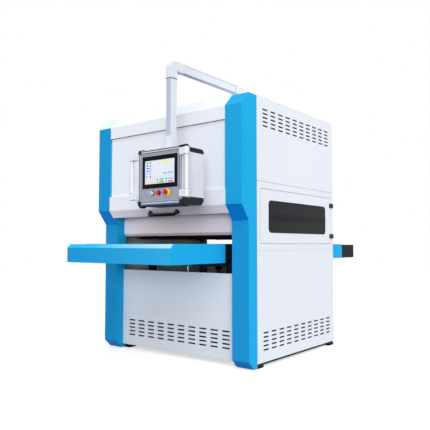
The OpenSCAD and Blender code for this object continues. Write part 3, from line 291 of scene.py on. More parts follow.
def apron_painted_light_and_shade(paint, tone):
    """Painted light and shade on the apron under the band's overhang: a paler violet that darkens towards
    its lip.
    """
    low = paint.mix(paint.ramp(paint.where("Z"), 0.97, 1.0), (0.80, 0.74, 0.86), (0.94, 0.88, 0.98))
    high = paint.mix(paint.ramp(paint.where("Z"), 1.0, 1.07), low, (0.95, 0.92, 1.0))
    return paint.mix(paint.ramp(paint.where("Z"), 0.9, 0.92), tone, high)


def cast_or_moulded(name, colour, rough, grain=900.0, strength=0.2, edge=0.0015, gloss=0.25,
                    **sockets):
    """Moulded plastic or cast paint with a fine leathery grain and softened edges."""
    paint = Paint(name, colour, rough, gloss=gloss, **sockets)
    paint.colour(paint.mix(paint.ramp(paint.noise(14.0), 0.3, 0.7), shade(colour, 0.88),
                           shade(colour, 1.12)))
    paint.roughness(paint.ramp(paint.noise(60.0), 0.3, 0.7, rough - 0.06, rough + 0.08))
    paint.bump(paint.noise(grain, 3.0), strength, 0.0003, edge)
    return paint.material


def metal(name, colour, rough, stretch=(1.0, 1.0, 1.0), scratch=0.3, edge=0.0012, shine=1.0):
    """Turned, drawn or brushed metal: fine lines across the stretch and uneven gloss."""
    paint = Paint(name, colour, rough, shine)
    lines = paint.noise(180.0, 4.0, stretch)
    paint.colour(paint.mix(paint.ramp(lines, 0.3, 0.7), shade(colour, 0.86), shade(colour, 1.08)))
    paint.roughness(paint.ramp(paint.noise(40.0, 5.0, stretch), 0.3, 0.7, rough - 0.08, rough + 0.12))
    paint.bump(lines, scratch, 0.0002, edge)
    return paint.material


def spangle(name):
    """Galvanised sheet with its flakes."""
    paint = Paint(name, (0.55, 0.57, 0.6), 0.42, 1.0)
    flakes = paint.node("ShaderNodeTexVoronoi", Scale=70.0)
    paint.link(paint.place(), flakes.inputs["Vector"])
    paint.colour(paint.mix(paint.ramp(flakes.outputs["Distance"], 0.0, 0.8), (0.62, 0.64, 0.66),
                           (0.44, 0.46, 0.49)))
    paint.roughness(paint.ramp(flakes.outputs["Distance"], 0.0, 0.8, 0.3, 0.5))
    paint.bump(paint.noise(200.0), 0.1, 0.0003, 0.001)
    return paint.material


def belt_rubber(name):
    """Ribbed rubber belt, red brown, rubbed paler by the sheets it carries."""
    paint = Paint(name, (0.13, 0.055, 0.04), 0.72, gloss=0.15)
    rubbed = paint.mix(paint.ramp(paint.noise(5.0, 6.0, (1.0, 0.3, 1.0)), 0.45, 0.75),
                       (0.14, 0.05, 0.04), (0.24, 0.12, 0.1))
    paint.colour(rubbed)
    ribs = paint.node("ShaderNodeTexWave", Scale=55.0, Distortion=0.0)
    ribs.bands_direction = "Y"
    paint.link(paint.place(), ribs.inputs["Vector"])
    paint.bump(ribs.outputs["Fac"], 0.5, 0.001)
    return paint.material


def abrasive_cloth(name, colour):
    """Coated abrasive: coarse grit and darker rubbed streaks."""
    paint = Paint(name, colour, 0.9, gloss=0.1)
    grit = paint.noise(1600.0, 2.0)
    streaks = paint.ramp(paint.noise(7.0, 4.0, (6.0, 0.6, 0.6)), 0.35, 0.7)
    paint.colour(paint.mix(streaks, shade(colour, 1.15), shade(colour, 0.6)))
    paint.bump(grit, 0.8, 0.0008)
    return paint.material


def tinted_pane(name):
    """Smoked plastic of the inspection window, with a darker band along its middle."""
    paint = Paint(name, (0.016, 0.018, 0.021), 0.3, gloss=0.06)
    paint.roughness(paint.ramp(paint.noise(3.0, 6.0, (1.0, 1.0, 5.0)), 0.35, 0.7, 0.25, 0.36))
    cloudy = paint.mix(paint.ramp(paint.noise(1.2), 0.3, 0.7), (0.014, 0.016, 0.019),
                       (0.019, 0.022, 0.025))
    band = paint.product(paint.ramp(paint.where("Z"), 1.07, 1.085),
                         paint.ramp(paint.where("Z"), 1.14, 1.125))
    paint.colour(paint.mix(band, cloudy, (0.008, 0.010, 0.012)))
    paint.bump(paint.noise(2.5), 0.02, 0.002)
    return paint.material


def flat_light(name, colour, glow):
    """A lit picture element of the screen."""
    paint = Paint(name, colour, 0.35, gloss=0.1, Emission_Color=(*colour, 1.0),
                  Emission_Strength=glow)
    paint.colour(paint.mix(paint.ramp(paint.noise(300.0), 0.3, 0.7), shade(colour, 0.96),
                           shade(colour, 1.04)))
    return paint.material


BLUE = (0.014, 0.42, 0.80)
WHITE = (0.80, 0.83, 0.885)
BLACK = (0.006, 0.007, 0.009)
LIT = 0.25
MATERIALS = {
    # Painted light: the edge factor pales edges as a highlight, and the function given to a coat paints
    # shade, highlight and bounce light by the way faces look and where they sit.
    "blue_paint": coat("blue_paint", BLUE, 0.34, 0.03, drift=0.02, painted_light=blue_painted_shade),
    # Painted shade: the left column takes a darker copy of the blue paint, with its own painted highlight
    # on top and painted shade below.
    "left_blue_painted_light": coat("left_blue_painted_light", shade(BLUE, 0.92), 0.34, 0.03, drift=0.02, painted_light=left_column_painted_light),
    "shroud_blue": coat("shroud_blue", BLUE, 0.34, 0.03, drift=0.02, painted_light=shroud_painted_light),
    "white_paint": coat("white_paint", WHITE, 0.36, 0.2, drift=0.012, edge_highlight=1.08),
    "door_white": coat("door_white", WHITE, 0.36, 0.2, drift=0.012, edge_highlight=1.06, painted_light=door_painted_bounce_light),
    "front_white": coat("front_white", WHITE, 0.4, 0.15, drift=0.012, edge_highlight=1.0, painted_light=apron_painted_light_and_shade),
    "black_steel": coat("black_steel", (0.009, 0.013, 0.018), 0.5, 0.07, edge_highlight=1.6),
    "frame_grey": coat("frame_grey", (0.12, 0.13, 0.15), 0.5, 0.1),
    "motor_blue": coat("motor_blue", (0.05, 0.12, 0.19), 0.42, 0.25),
    "panel_grey": coat("panel_grey", (0.71, 0.72, 0.765), 0.4, 0.15, 0.002),
    "arm_silver": coat("arm_silver", (0.73, 0.76, 0.82), 0.38, 0.2, 0.003, drift=0.015),
    "channel_grey": coat("channel_grey", (0.48, 0.54, 0.67), 0.42, 0.15, 0.001),
    "plate_grey": metal("plate_grey", (0.345, 0.345, 0.42), 0.5, (1.0, 1.0, 12.0), 0.12, shine=0.25),
    "anodised": metal("anodised", (0.68, 0.71, 0.77), 0.4, (0.5, 0.5, 14.0), 0.15, shine=0.45),
    "groove": metal("groove", (0.05, 0.075, 0.11), 0.45, (0.5, 0.5, 14.0), 0.1, shine=0.3),
    "lower_edge": metal("lower_edge", (0.03, 0.10, 0.28), 0.4, (12.0, 0.5, 0.5), 0.1, shine=0.3),
    "bright_steel": metal("bright_steel", (0.58, 0.59, 0.61), 0.24, (8.0, 1.0, 1.0)),
    "roller_metal": metal("roller_metal", (0.5, 0.51, 0.53), 0.32, (12.0, 1.0, 1.0)),
    "galvanised": spangle("galvanised"),
    "feed_belt": belt_rubber("feed_belt"),
    "abrasive": abrasive_cloth("abrasive", (0.2, 0.075, 0.03)),
    "brush_flaps": abrasive_cloth("brush_flaps", (0.3, 0.13, 0.05)),
    "black_rubber": cast_or_moulded("black_rubber", (0.012, 0.012, 0.014), 0.7, gloss=0.1),
    "black_plastic": cast_or_moulded("black_plastic", BLACK, 0.36, gloss=0.22),
    "bezel_black": cast_or_moulded("bezel_black", (0.004, 0.005, 0.006), 0.5, gloss=0.05),
    "hinge_black": cast_or_moulded("hinge_black", (0.022, 0.034, 0.042), 0.5, gloss=0.15),
    "seal_grey": cast_or_moulded("seal_grey", (0.20, 0.22, 0.26), 0.7, gloss=0.1),
    "silver_plastic": cast_or_moulded("silver_plastic", (0.6, 0.62, 0.65), 0.3),
    "red_plastic": cast_or_moulded("red_plastic", (0.70, 0.004, 0.010), 0.36, gloss=0.2),
    "yellow_plastic": cast_or_moulded("yellow_plastic", (0.93, 0.88, 0.006), 0.4, gloss=0.15),
    "tinted_window": tinted_pane("tinted_window"),
    "screen": flat_light("screen", (0.70, 0.72, 0.78), 0.16),
    "lit_green": flat_light("lit_green", (0.02, 0.40, 0.10), LIT),
    "lit_violet": flat_light("lit_violet", (0.10, 0.04, 0.42), LIT),
    "lit_blue": flat_light("lit_blue", (0.04, 0.22, 0.72), LIT),
    "lit_cyan": flat_light("lit_cyan", (0.06, 0.50, 0.80), LIT),
    "lit_orange": flat_light("lit_orange", (0.90, 0.45, 0.25), LIT),
    "lit_red": flat_light("lit_red", (0.85, 0.05, 0.05), LIT),
    "lit_lime": flat_light("lit_lime", (0.62, 0.80, 0.10), LIT),
    "lit_lilac": flat_light("lit_lilac", (0.55, 0.45, 0.80), LIT),
    "lit_grey": flat_light("lit_grey", (0.52, 0.57, 0.66), LIT),
}
OWN_FINISH = {"left_column_cover": "left_blue_painted_light", "front_shroud": "shroud_blue",
              "front_door": "door_white", "front_panels": "front_white",
              "screen_bezel": "bezel_black", "hinge_bases": "hinge_black",
              "hinge_leaves": "hinge_black"}


def paint_nodes():
    """Gives every CAD node the material of its slot in the record, or its own finish of it."""
    for part in frame["record"]["subparts"]:
        data = NODES[part["node"]].data
        data.materials.clear()
        data.materials.append(MATERIALS[OWN_FINISH.get(part["node"], part["material_slot"])])


# Small pieces

def at(x, y, z):
    """A place in millimetres, y counted from the front of the columns."""
    return Vector((x, y - ORIGIN_Y, z)) * MM


def edges_of(node):
    """Lowest and highest corner of a CAD node in millimetres, y from the front of the columns."""
    low_corner, high_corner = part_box(node)
    back = Vector((0.0, ORIGIN_Y, 0.0))
    return low_corner / MM + back, high_corner / MM + back


def piece(name, mesh, material, body, smooth=False):
    """Finishes a bmesh as a piece of the object that rides on a body."""
    data = bpy.data.meshes.new(name)
    bmesh.ops.recalc_face_normals(mesh, faces=mesh.faces)
    mesh.to_mesh(data)
    mesh.free()
    if smooth:
        data.shade_smooth()
        data.set_sharp_from_angle(angle=math.radians(35.0))
    data.materials.append(MATERIALS[material])
    made = bpy.data.objects.new(name, data)
    bpy.context.scene.collection.objects.link(made)
    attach(made, body)
    return made


def axis_matrix(axis, place):
    """Turns +Z to an axis and moves to a place."""
    turn = Vector((0, 0, 1)).rotation_difference(Vector(axis)).to_matrix().to_4x4()
    return Matrix.Translation(place) @ turn


def add_block(mesh, low_corner, high_corner, bevel=0.0):
    """Box between two corners, its edges rounded when bevel is given."""
    a, b = at(*low_corner), at(*high_corner)
    made = bmesh.ops.create_cube(mesh, size=1.0, matrix=Matrix.Translation((a + b) / 2)
                                 @ Matrix.Diagonal((*(b - a), 1.0)))
    if bevel:
        edges = {e for v in made["verts"] for e in v.link_edges}
        bmesh.ops.bevel(mesh, geom=list(edges), offset=bevel * MM, segments=2, affect="EDGES",
                        profile=0.5)


def blocks(name, material, body, corners, bevel=0.0):
    """One piece made of boxes, each given by its two corners."""
    mesh = bmesh.new()
    for low_corner, high_corner in corners:
        add_block(mesh, low_corner, high_corner, bevel)
    return piece(name, mesh, material, body)


def add_turned(mesh, profile, matrix, steps=32):
    """Solid of revolution from (radius, height) pairs in millimetres about the matrix's Z axis."""
    rings = []
    for radius, height in profile:
        if radius == 0.0:
            rings.append([mesh.verts.new(matrix @ Vector((0.0, 0.0, height * MM)))])
            continue
        angles = [2 * math.pi * k / steps for k in range(steps)]
        rings.append([mesh.verts.new(matrix @ (Vector((radius * math.cos(a), radius * math.sin(a),
                                                       height)) * MM)) for a in angles])
    for below, above in zip(rings, rings[1:]):
        for k in range(steps):
            ring = [below[k % len(below)], below[(k + 1) % len(below)],
                    above[(k + 1) % len(above)], above[k % len(above)]]
            corners = list(dict.fromkeys(ring))
            if len(corners) > 2:
                mesh.faces.new(corners)


def turned(name, material, body, profile, place, axis, steps=40):
    """One piece turned about an axis."""
    mesh = bmesh.new()
    add_turned(mesh, profile, axis_matrix(axis, at(*place)), steps)
    return piece(name, mesh, material, body, smooth=True)


def add_screw(mesh, place, axis, radius):
    """Domed socket screw head with its hexagon recess."""
    matrix = axis_matrix(axis, place)
    hexagon = radius * 0.45
    height = radius * 0.6
    add_turned(mesh, [(radius, 0.0), (radius, height * 0.45), (radius * 0.8, height * 0.85),
                      (hexagon * 1.15, height)], matrix, 20)
    add_turned(mesh, [(hexagon * 1.15, height), (hexagon, height), (hexagon, height * 0.3),
                      (0.0, height * 0.3)], matrix, 6)


def screws(name, places, axis, radius, body, material="bright_steel"):
    """One piece made of screw heads that face along an axis."""
    mesh = bmesh.new()
    for place in places:
        add_screw(mesh, at(*place), axis, radius)
    return piece(name, mesh, material, body)


def rounded_outline(width, height, radius, steps=8):
    """Points round a rectangle with rounded corners, about its middle."""
    points = []
    for sx, sy, start in ((1, 1, 0), (-1, 1, 90), (-1, -1, 180), (1, -1, 270)):
        for k in range(steps + 1):
            angle = math.radians(start + 90.0 * k / steps)
            points.append((sx * (width / 2 - radius) + radius * math.cos(angle),
                           sy * (height / 2 - radius) + radius * math.sin(angle)))
    return points


def add_rim(mesh, inner, outer, lay, depth):
    """Flat frame between two outlines of as many points; lay turns (u, v, d) into a place."""
    count = len(inner)
    rows = [[mesh.verts.new(lay(*point, height)) for point in outline]
            for outline, height in ((inner, 0.0), (outer, 0.0), (outer, depth), (inner, depth))]
    for k in range(count):
        n = (k + 1) % count
        for a, b in zip(rows, rows[1:] + rows[:1]):
            mesh.faces.new((a[k], a[n], b[n], b[k]))


def add_sweep(mesh, path, side, wide, high, steps=14, squareness=3.0):
    """Bar of a rounded section along a path, its corners mitred; side is its constant width axis."""
    points = [Vector(p) for p in path]
    side = Vector(side).normalized()
    rings = []
    for k, point in enumerate(points):
        before = (point - points[k - 1]).normalized() if k else None
        after = (points[k + 1] - point).normalized() if k + 1 < len(points) else None
        along = ((before or after) + (after or before)).normalized()
        stretch = 1.0 / max(0.5, along.dot(after or before))
        rise = side.cross(along).normalized() * stretch
        ring = []
        for j in range(steps):
            angle = 2 * math.pi * j / steps
            c, s = math.cos(angle), math.sin(angle)
            u = math.copysign(abs(c) ** (2 / squareness), c) * wide / 2
            v = math.copysign(abs(s) ** (2 / squareness), s) * high / 2
            ring.append(mesh.verts.new(point + (side * u + rise * v) * MM))
        rings.append(ring)
    for a, b in zip(rings, rings[1:]):
        for j in range(steps):
            n = (j + 1) % steps
            mesh.faces.new((a[j], a[n], b[n], b[j]))
    mesh.faces.new(rings[0])
    mesh.faces.new(rings[-1])


def add_fins(mesh, start, axis, length, radius, proud, count, thick=2.5):
    """Cooling fins round a motor body, running along it."""
    frame_of_motor = axis_matrix(axis, at(*start))
    for k in range(count):
        turn = Matrix.Rotation(2 * math.pi * k / count, 4, "Z")
        size = Matrix.Diagonal((proud * 2 * MM, thick * MM, length * MM, 1.0))
        centre = Matrix.Translation(Vector((radius, 0.0, length / 2)) * MM)
        bmesh.ops.create_cube(mesh, size=1.0, matrix=frame_of_motor @ turn @ centre @ size)


def motor_trim(name, body, start, axis, length, radius, fins, proud=7.0):
    """Fins along a motor's body and the fan cowl with its grille at the end."""
    mesh = bmesh.new()
    cowl = min(70.0, length * 0.3)
    fin_length = length - cowl - 14.0
    add_fins(mesh, start, axis, fin_length, radius, proud, fins)
    end = Vector(start) + Vector(axis).normalized() * fin_length
    out = radius + proud
    add_turned(mesh, [(radius, 6.0), (out, 10.0), (out, cowl - 2.0), (out - 6.0, cowl + 6.0),
                      (out * 0.86, cowl + 7.0), (radius * 0.8, cowl + 2.0)],
               axis_matrix(axis, at(*end)), 32)
    for share in (0.75, 0.55, 0.35):
        add_turned(mesh, [(out * share, cowl + 4.0), (out * share - 3.0, cowl + 5.5),
                          (out * share - 6.0, cowl + 4.0)], axis_matrix(axis, at(*end)), 28)
    piece(name, mesh, "motor_blue", body, smooth=True)


# Control panel

def dress_panel():
    """Dark strips painted as the shade in the frame's grooves, and the lower lip, corner caps, screws and
    rear vents of the control panel.
    """
    low_corner, high_corner = edges_of("panel_frame")
    x0, y0, z0 = low_corner
    x1, y1, z1 = high_corner
    profile = 28.0
    film, sunk, end = 0.6, 1.0, 20.0
    front = y0 - film
    groove_at, groove_w = 3.5, 7.5
    # Painted shade: dark strips laid on the frame's face where its grooves and the step inside them lie in
    # shade.
    outer = [((x0 + groove_at, front, z1 - groove_at - groove_w),
              (x1 - groove_at, y0 + sunk, z1 - groove_at)),
             ((x0 + groove_at, front, z0 + profile - 6.0), (x1 - groove_at, y0 + sunk, z0 + profile - 1.5)),
             ((x0 + groove_at, front, z0), (x0 + groove_at + groove_w, y0 + sunk, z1)),
             ((x1 - groove_at - groove_w, front, z0), (x1 - groove_at, y0 + sunk, z1))]
    inner_at, inner_w = profile - 9.0, 5.5
    inner = [((x0 + inner_at, front, z1 - inner_at - inner_w), (x1 - inner_at, y0 + sunk, z1 - inner_at)),
             ((x0 + inner_at, front, z0 + inner_at), (x0 + inner_at + inner_w, y0 + sunk, z1 - inner_at)),
             ((x1 - inner_at - inner_w, front, z0 + inner_at), (x1 - inner_at, y0 + sunk, z1 - inner_at))]
    blocks("panel_profile_groove_shade", "groove", "panel", outer + inner)
    # Painted shade: dark strips on the frame's sides where its grooves lie in shade.
    blocks("panel_side_groove_shade", "groove", "panel",
           [((x1 - sunk, y0 + 22.0, z0 + end), (x1 + film, y0 + 30.0, z1 - end)),
            ((x1 - sunk, y0 + 50.0, z0 + end), (x1 + film, y0 + 54.0, z1 - end)),
            ((x0 - film, y0 + 22.0, z0 + end), (x0 + sunk, y0 + 30.0, z1 - end))])
    blocks("panel_lower_lip", "lower_edge", "panel",
           [((x0 + 6.0, y0 - 1.0, z0), (x1 - 6.0, y1, z0 + 13.0))], 1.0)
    corner = 24.0
    proud = 2.5
    caps = []
    for side, x in ((-1, x0), (1, x1)):
        for z_low, z_high in ((z0 - proud, z0 + corner + 8.0), (z1 - corner, z1 + proud)):
            near, far = (x - proud, x + corner) if side < 0 else (x - corner, x + proud)
            caps.append(((near, y0 - proud, z_low), (far, y0 + 14.0, z_high)))
    blocks("panel_corner_caps", "black_plastic", "panel", caps, 2.5)
    face_low, face_high = edges_of("panel_face")
    inset = 9.0
    plate = y0 + FACE_RECESS
    spots = [(x, plate, z) for x in (face_low.x + inset, face_high.x - inset)
             for z in (face_low.z + inset, face_high.z - inset)]
    screws("panel_face_screws", spots, (0, -1, 0), PANEL_SCREW * MM, "panel")
    box_low, box_high = edges_of("panel_housing")
    box_screw, vent, pitch = 3.0, 60.0, 14.0
    spots = [(box_high.x, y, z) for y in (box_low.y + 16.0, box_high.y - 16.0)
             for z in (box_low.z + 14.0, box_high.z - 14.0)]
    screws("housing_screws_right", spots, (1, 0, 0), box_screw * MM, "panel", "panel_grey")
    spots = [(box_low.x, y, z) for _, y, z in spots]
    screws("housing_screws_left", spots, (-1, 0, 0), box_screw * MM, "panel", "panel_grey")
    slots = [((x, box_high.y - 0.5, z), (x + vent, box_high.y + 1.2, z + 5.0))
             for x in (box_low.x + vent, box_high.x - 2 * vent)
             for z in (box_low.z + vent + pitch * k for k in range(6))]
    blocks("housing_back_vents", "seal_grey", "panel", slots)


def dress_controls():
    """Rings, heads and domes of the selector, the button and the stop button."""
    knob_low, knob_high = edges_of("estop_button")
    x, z = (knob_low.x + knob_high.x) / 2, (knob_low.z + knob_high.z) / 2
    plate = edges_of("panel_frame")[0].y + FACE_RECESS
    turned("estop_disc", "yellow_plastic", "panel",
           [(7.6, 0.0), (23.2, 0.0), (23.2, 3.4), (22.2, 4.2), (20.2, 4.2), (19.4, 3.1), (7.6, 3.1)],
           (x, plate, z), (0, -1, 0), 48)
    front = knob_low.y
    turned("estop_head", "red_plastic", "estop_button",
           [(17.25, 10.5), (18.2, 9.0), (18.4, 3.5), (17.0, 0.9), (12.0, -0.4), (0.0, -0.9)],
           (x, front, z), (0, 1, 0), 40)
    for name, radius in (("selector_knob", 15.0), ("red_button", 15.0)):
        a, b = edges_of(name)
        cx, cz = (a.x + b.x) / 2, (a.z + b.z) / 2
        turned(name + "_bezel", "black_plastic", "panel",
               [(12.6, 0.0), (radius + 2.2, 0.0), (radius + 2.2, 2.2), (radius - 0.4, 5.4),
                (14.7, 5.4), (14.5, 3.1), (12.6, 3.1)], (cx, plate, cz), (0, -1, 0), 36)
    a, b = edges_of("red_button")
    turned("red_button_dome", "red_plastic", "red_button",
           [(13.6, 7.5), (14.0, 6.5), (14.0, 2.6), (12.4, 0.9), (7.0, 0.0), (0.0, -0.4)],
           ((a.x + b.x) / 2, a.y, (a.z + b.z) / 2), (0, 1, 0), 36)
    a, b = edges_of("selector_knob")
    # Painted glow: the white pointer takes the screen's glowing material, though it is no lamp.
    blocks("selector_pointer", "screen", "selector_knob",
           [(((a.x + b.x) / 2 - 0.8, a.y - 0.4, (a.z + b.z) / 2 + 2.0),
             ((a.x + b.x) / 2 + 0.8, a.y + 1.0, b.z - 1.5))])


# Bars of the screen picture: colour, then left end, right end and middle from the top, as shares
SCREEN_BARS = (
    ("lit_green", ((0.05, 0.11, 0.094), (0.155, 0.215, 0.094))),
    ("lit_violet", ((0.05, 0.09, 0.213), (0.10, 0.115, 0.213), (0.165, 0.205, 0.213))),
    ("lit_blue", ((0.05, 0.145, 0.326), (0.165, 0.205, 0.326), (0.05, 0.13, 0.438), (0.16, 0.21, 0.438))),
    ("lit_cyan", ((0.05, 0.11, 0.555), (0.15, 0.215, 0.555), (0.62, 0.75, 0.582), (0.79, 0.95, 0.582),
                  (0.79, 0.95, 0.825))),
    ("lit_violet", ((0.05, 0.09, 0.685), (0.165, 0.21, 0.685))),
    ("lit_orange", ((0.05, 0.09, 0.804), (0.17, 0.27, 0.804), (0.33, 0.385, 0.804),
                    (0.05, 0.09, 0.921), (0.17, 0.27, 0.921), (0.33, 0.385, 0.921))),
    ("lit_green", ((0.41, 0.47, 0.824), (0.51, 0.64, 0.824), (0.69, 0.76, 0.824),
                   (0.41, 0.45, 0.934), (0.49, 0.65, 0.934), (0.71, 0.76, 0.934))),
    ("lit_red", ((0.79, 0.95, 0.941),)),
    ("lit_lime", ((0.61, 0.785, 0.09),)),
    ("lit_lilac", ((0.62, 0.65, 0.70), (0.71, 0.75, 0.70), (0.79, 0.82, 0.70), (0.92, 0.945, 0.70))),
)
GREY_ROWS = (0.16, 0.27, 0.38, 0.49, 0.60, 0.71)


def draw_screen():
    """Generic page of coloured fields and grey lines on the screen."""
    low_corner, high_corner = edges_of("touch_screen")
    width, height = high_corner.x - low_corner.x, high_corner.z - low_corner.z
    front = low_corner.y

    def field(left, right, middle, thick):
        top = high_corner.z - middle * height
        return ((low_corner.x + left * width, front - 0.25, top - thick / 2),
                (low_corner.x + right * width, front + 0.3, top + thick / 2))

    for count, (colour, bars) in enumerate(SCREEN_BARS):
        thick = 14.0 if colour == "lit_lime" else 9.5
        blocks("screen_fields_%d" % count, colour, "panel", [field(*bar, thick) for bar in bars])
    line = 1.6
    lines = [field(left, right, row, line) for row in GREY_ROWS
             for left, right in ((0.25, 0.40), (0.46, 0.56))]
    lines += [field(left, right, row, line) for row in GREY_ROWS[:4]
              for left, right in ((0.62, 0.76), (0.80, 0.94))]
    blocks("screen_lines", "lit_grey", "panel", lines)


def dress_grips():
    """Shadow rings, end caps and screws of the two tube grips."""
    low_corner, high_corner = edges_of("panel_handles")
    radius, socket, height = 15.0, 18.0, 46.0
    y = edges_of("panel_frame")[0].y - GRIP_PROUD
    for side, x in (("left", low_corner.x + socket), ("right", high_corner.x - socket)):
        mesh = bmesh.new()
        for z, way in ((low_corner.z + height, 1), (high_corner.z - height, -1)):
            add_turned(mesh, [(radius + 0.1, 0.0), (socket + 0.1, 0.0), (socket + 0.1, way * 1.2),
                              (radius + 0.8, way * 2.6), (radius + 0.1, way * 2.6)],
                       axis_matrix((0, 0, 1), at(x, y, z)), 32)
        piece("grip_shadow_rings_" + side, mesh, "seal_grey", "panel", smooth=True)
        mesh = bmesh.new()
        for z, way in ((low_corner.z, -1), (high_corner.z, 1)):
            add_turned(mesh, [(socket - 0.5, 0.0), (socket - 1.5, way * 2.0), (socket - 5.0, way * 4.0),
                              (0.0, way * 5.0)], axis_matrix((0, 0, 1), at(x, y, z)), 32)
        piece("grip_end_caps_" + side, mesh, "panel_grey", "panel", smooth=True)
        spots = [(x, y - socket, z) for z in (low_corner.z + height / 2, high_corner.z - height / 2)]
        screws("grip_screws_" + side, spots, (0, -1, 0), PANEL_SCREW * MM, "panel")


# Arm

def dress_arm():
    """Channels, seams, gaskets and screws of the swing arm."""
    tube_low, tube_high = edges_of("arm_profiles")
    elbow_low = edges_of("arm_elbows")[0]
    collar_low, collar_high = edges_of("panel_collar")
    x0, x1 = tube_low.x, tube_high.x
    wall = 4.0
    beam_z = tube_high.z - 60.0
    elbow_foot = 2066.0
    front_end, rear_end = -217.0, 414.0
    under_front, under_rear = -298.0, 441.0
    rim, lip, front_lip = 1.0, 1.2, 1.6
    blocks("arm_channel_front", "channel_grey", "arm",
           [((x0 + rim, tube_low.y - rim, collar_high.z + 2.0), (x1 - rim, tube_low.y + rim, elbow_foot))])
    blocks("arm_channel_under", "channel_grey", "arm",
           [((x0 + rim, under_front, beam_z - rim), (x1 - rim, under_rear, beam_z + rim))])
    blocks("arm_cover_seams", "channel_grey", "arm",
           [((x1 - rim, front_end, tube_high.z - 6.0), (x1 + 0.5, rear_end, tube_high.z + 0.4))])
    gaskets = [((x0 - lip, rear_end - 4.0, beam_z - lip), (x1 + lip, rear_end, tube_high.z + lip)),
               ((x0 - front_lip, tube_low.y - front_lip, elbow_foot - 5.0),
                (x1 + front_lip, -300.4, elbow_foot))]
    blocks("arm_elbow_gaskets", "seal_grey", "arm", gaskets)
    mid = (x0 + x1) / 2
    spots = [(mid + dx, elbow_low.y, 2104.0) for dx in (-13.0, 13.0)]
    screws("elbow_screws_front", spots, (0, -1, 0), 4.0 * MM, "arm", "channel_grey")
    spots = [(x1 + wall, y, z) for y, z in ((-320.0, 2090.0), (-345.0, 2090.0), (455.0, 2140.0),
                                            (455.0, 2176.0))]
    screws("elbow_screws_side", spots, (1, 0, 0), 3.5 * MM, "arm", "arm_silver")
    spots = [(mid + dx, collar_low.y, z) for dx in (-16.0, 16.0)
             for z in (collar_low.z + 18.0, collar_low.z + 52.0, collar_low.z + 86.0)]
    screws("collar_screws", spots, (0, -1, 0), 3.4 * MM, "panel", "channel_grey")
    base_low, base_high = edges_of("arm_base")
    cx, cy = (base_low.x + base_high.x) / 2, (base_low.y + base_high.y) / 2
    ring = 52.0
    spots = [(cx + ring * math.cos(a), cy + ring * math.sin(a), base_low.z + 14.0)
             for a in (math.pi / 4 + k * math.pi / 2 for k in range(4))]
    screws("arm_flange_screws", spots, (0, 0, 1), 7.0 * MM, "root")


# Doors

def dress_front_door():
    """Fuller bow handle with round feet, in place of the plain one."""
    low_corner, high_corner = edges_of("front_door_handle")
    half = (high_corner.x - low_corner.x) / 2
    down = Vector((0.0, 85.0, -116.0)).normalized()
    out = Vector((0.0, down.z, -down.y))
    seat = Vector((0.0, 18.57, 1155.06))
    rise, foot = 40.0, 32.0

    def spot(x, height):
        place = seat + out * height
        return at(x, place.y, place.z)

    inner = half - foot
    path = [spot(-half + 14.0, 0.0), spot(-inner - 8.0, rise - 9.0), spot(-inner + 3.0, rise),
            spot(inner - 3.0, rise), spot(inner + 8.0, rise - 9.0), spot(half - 14.0, 0.0)]
    mesh = bmesh.new()
    add_sweep(mesh, path, down, 29.0, 19.0, 18, 2.6)
    for side in (-1, 1):
        add_turned(mesh, [(0.0, 0.0), (20.0, 0.0), (20.0, 6.0), (18.5, 9.0), (16.0, 20.0), (11.0, 25.0),
                          (0.0, 26.0)], axis_matrix(out, spot(side * (half - 20.0), 0.0)), 28)
    made = piece("front_door_pull", mesh, "black_plastic", "front_door", smooth=True)
    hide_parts("front_door_handle")


def dress_side_door():
    """Gaskets in the door's gap and round its window, and the screws of the hinges."""
    low_corner, high_corner = edges_of("side_door")
    x = high_corner.x
    y0, y1, z0, z1 = low_corner.y, high_corner.y, low_corner.z, high_corner.z
    near, far = 0.4, 2.6
    back, front = x - 14.0, x - 0.6
    blocks("side_door_seal", "seal_grey", "root",
           [((back, y0 - far, z1 + near), (front, y1 + far, z1 + far)),
            ((back, y0 - far, z0 - far), (back + 4.0, y1 + far, z0 - near)),
            ((back, y0 - far, z0 - far), (front, y0 - near, z1 + far)),
            ((back, y1 + near, z0 - far), (back + 5.0, y1 + far, z1 + far))])
    pane_low, pane_high = edges_of("side_window")
    lap = 15.0
    width = pane_high.y - pane_low.y - 2 * lap
    height = pane_high.z - pane_low.z - 2 * lap
    mid_y, mid_z = (y0 + y1) / 2, (z0 + z1) / 2
    mesh = bmesh.new()
    add_rim(mesh, rounded_outline(width - 3.0, height - 3.0, 28.5),
            rounded_outline(width + 7.0, height + 7.0, 33.5),
            lambda u, v, d: at(x - 0.2 + d, mid_y + u, mid_z + v), 1.4)
    piece("side_window_gasket", mesh, "black_rubber", "side_door")
    leaf_low, leaf_high = edges_of("hinge_leaves")
    base_high = edges_of("hinge_bases")[1]
    for name, body, y in (("hinge_leaf_screws", "side_door", leaf_low.y + 12.0),
                          ("hinge_base_screws", "root", base_high.y - 12.0)):
        spots = [(leaf_high.x, y, mid + dz) for mid in (leaf_low.z + 19.0, leaf_high.z - 19.0)
                 for dz in (-10.0, 10.0)]
        screws(name, spots, (1, 0, 0), 3.4 * MM, body, "hinge_black")


# Body

def dress_seams():
    """Seals behind the seams of the side panels, so that no light shows through."""
    low_corner, high_corner = edges_of("upper_side_panels")
    x = high_corner.x
    seam = low_corner.z
    y0, y1 = low_corner.y + 1.0, high_corner.y - 1.0
    depth = 16.0
    low_seam, half_gap = 850.0, 2.0
    for side, s, proud in (("right", 1, 0.15), ("left", -1, 0.0)):
        near, far = sorted((s * (x - depth), s * (x + proud)))
        blocks("high_seam_seal_" + side, "seal_grey", "root",
               [((near, y0, seam - 1.4), (far, y1, seam + 0.6))])
        near, far = sorted((s * (x - depth), s * (x - 0.3)))
        blocks("low_seam_seal_" + side, "seal_grey", "root",
               [((near, y0, low_seam - half_gap), (far, y1, low_seam + half_gap))])


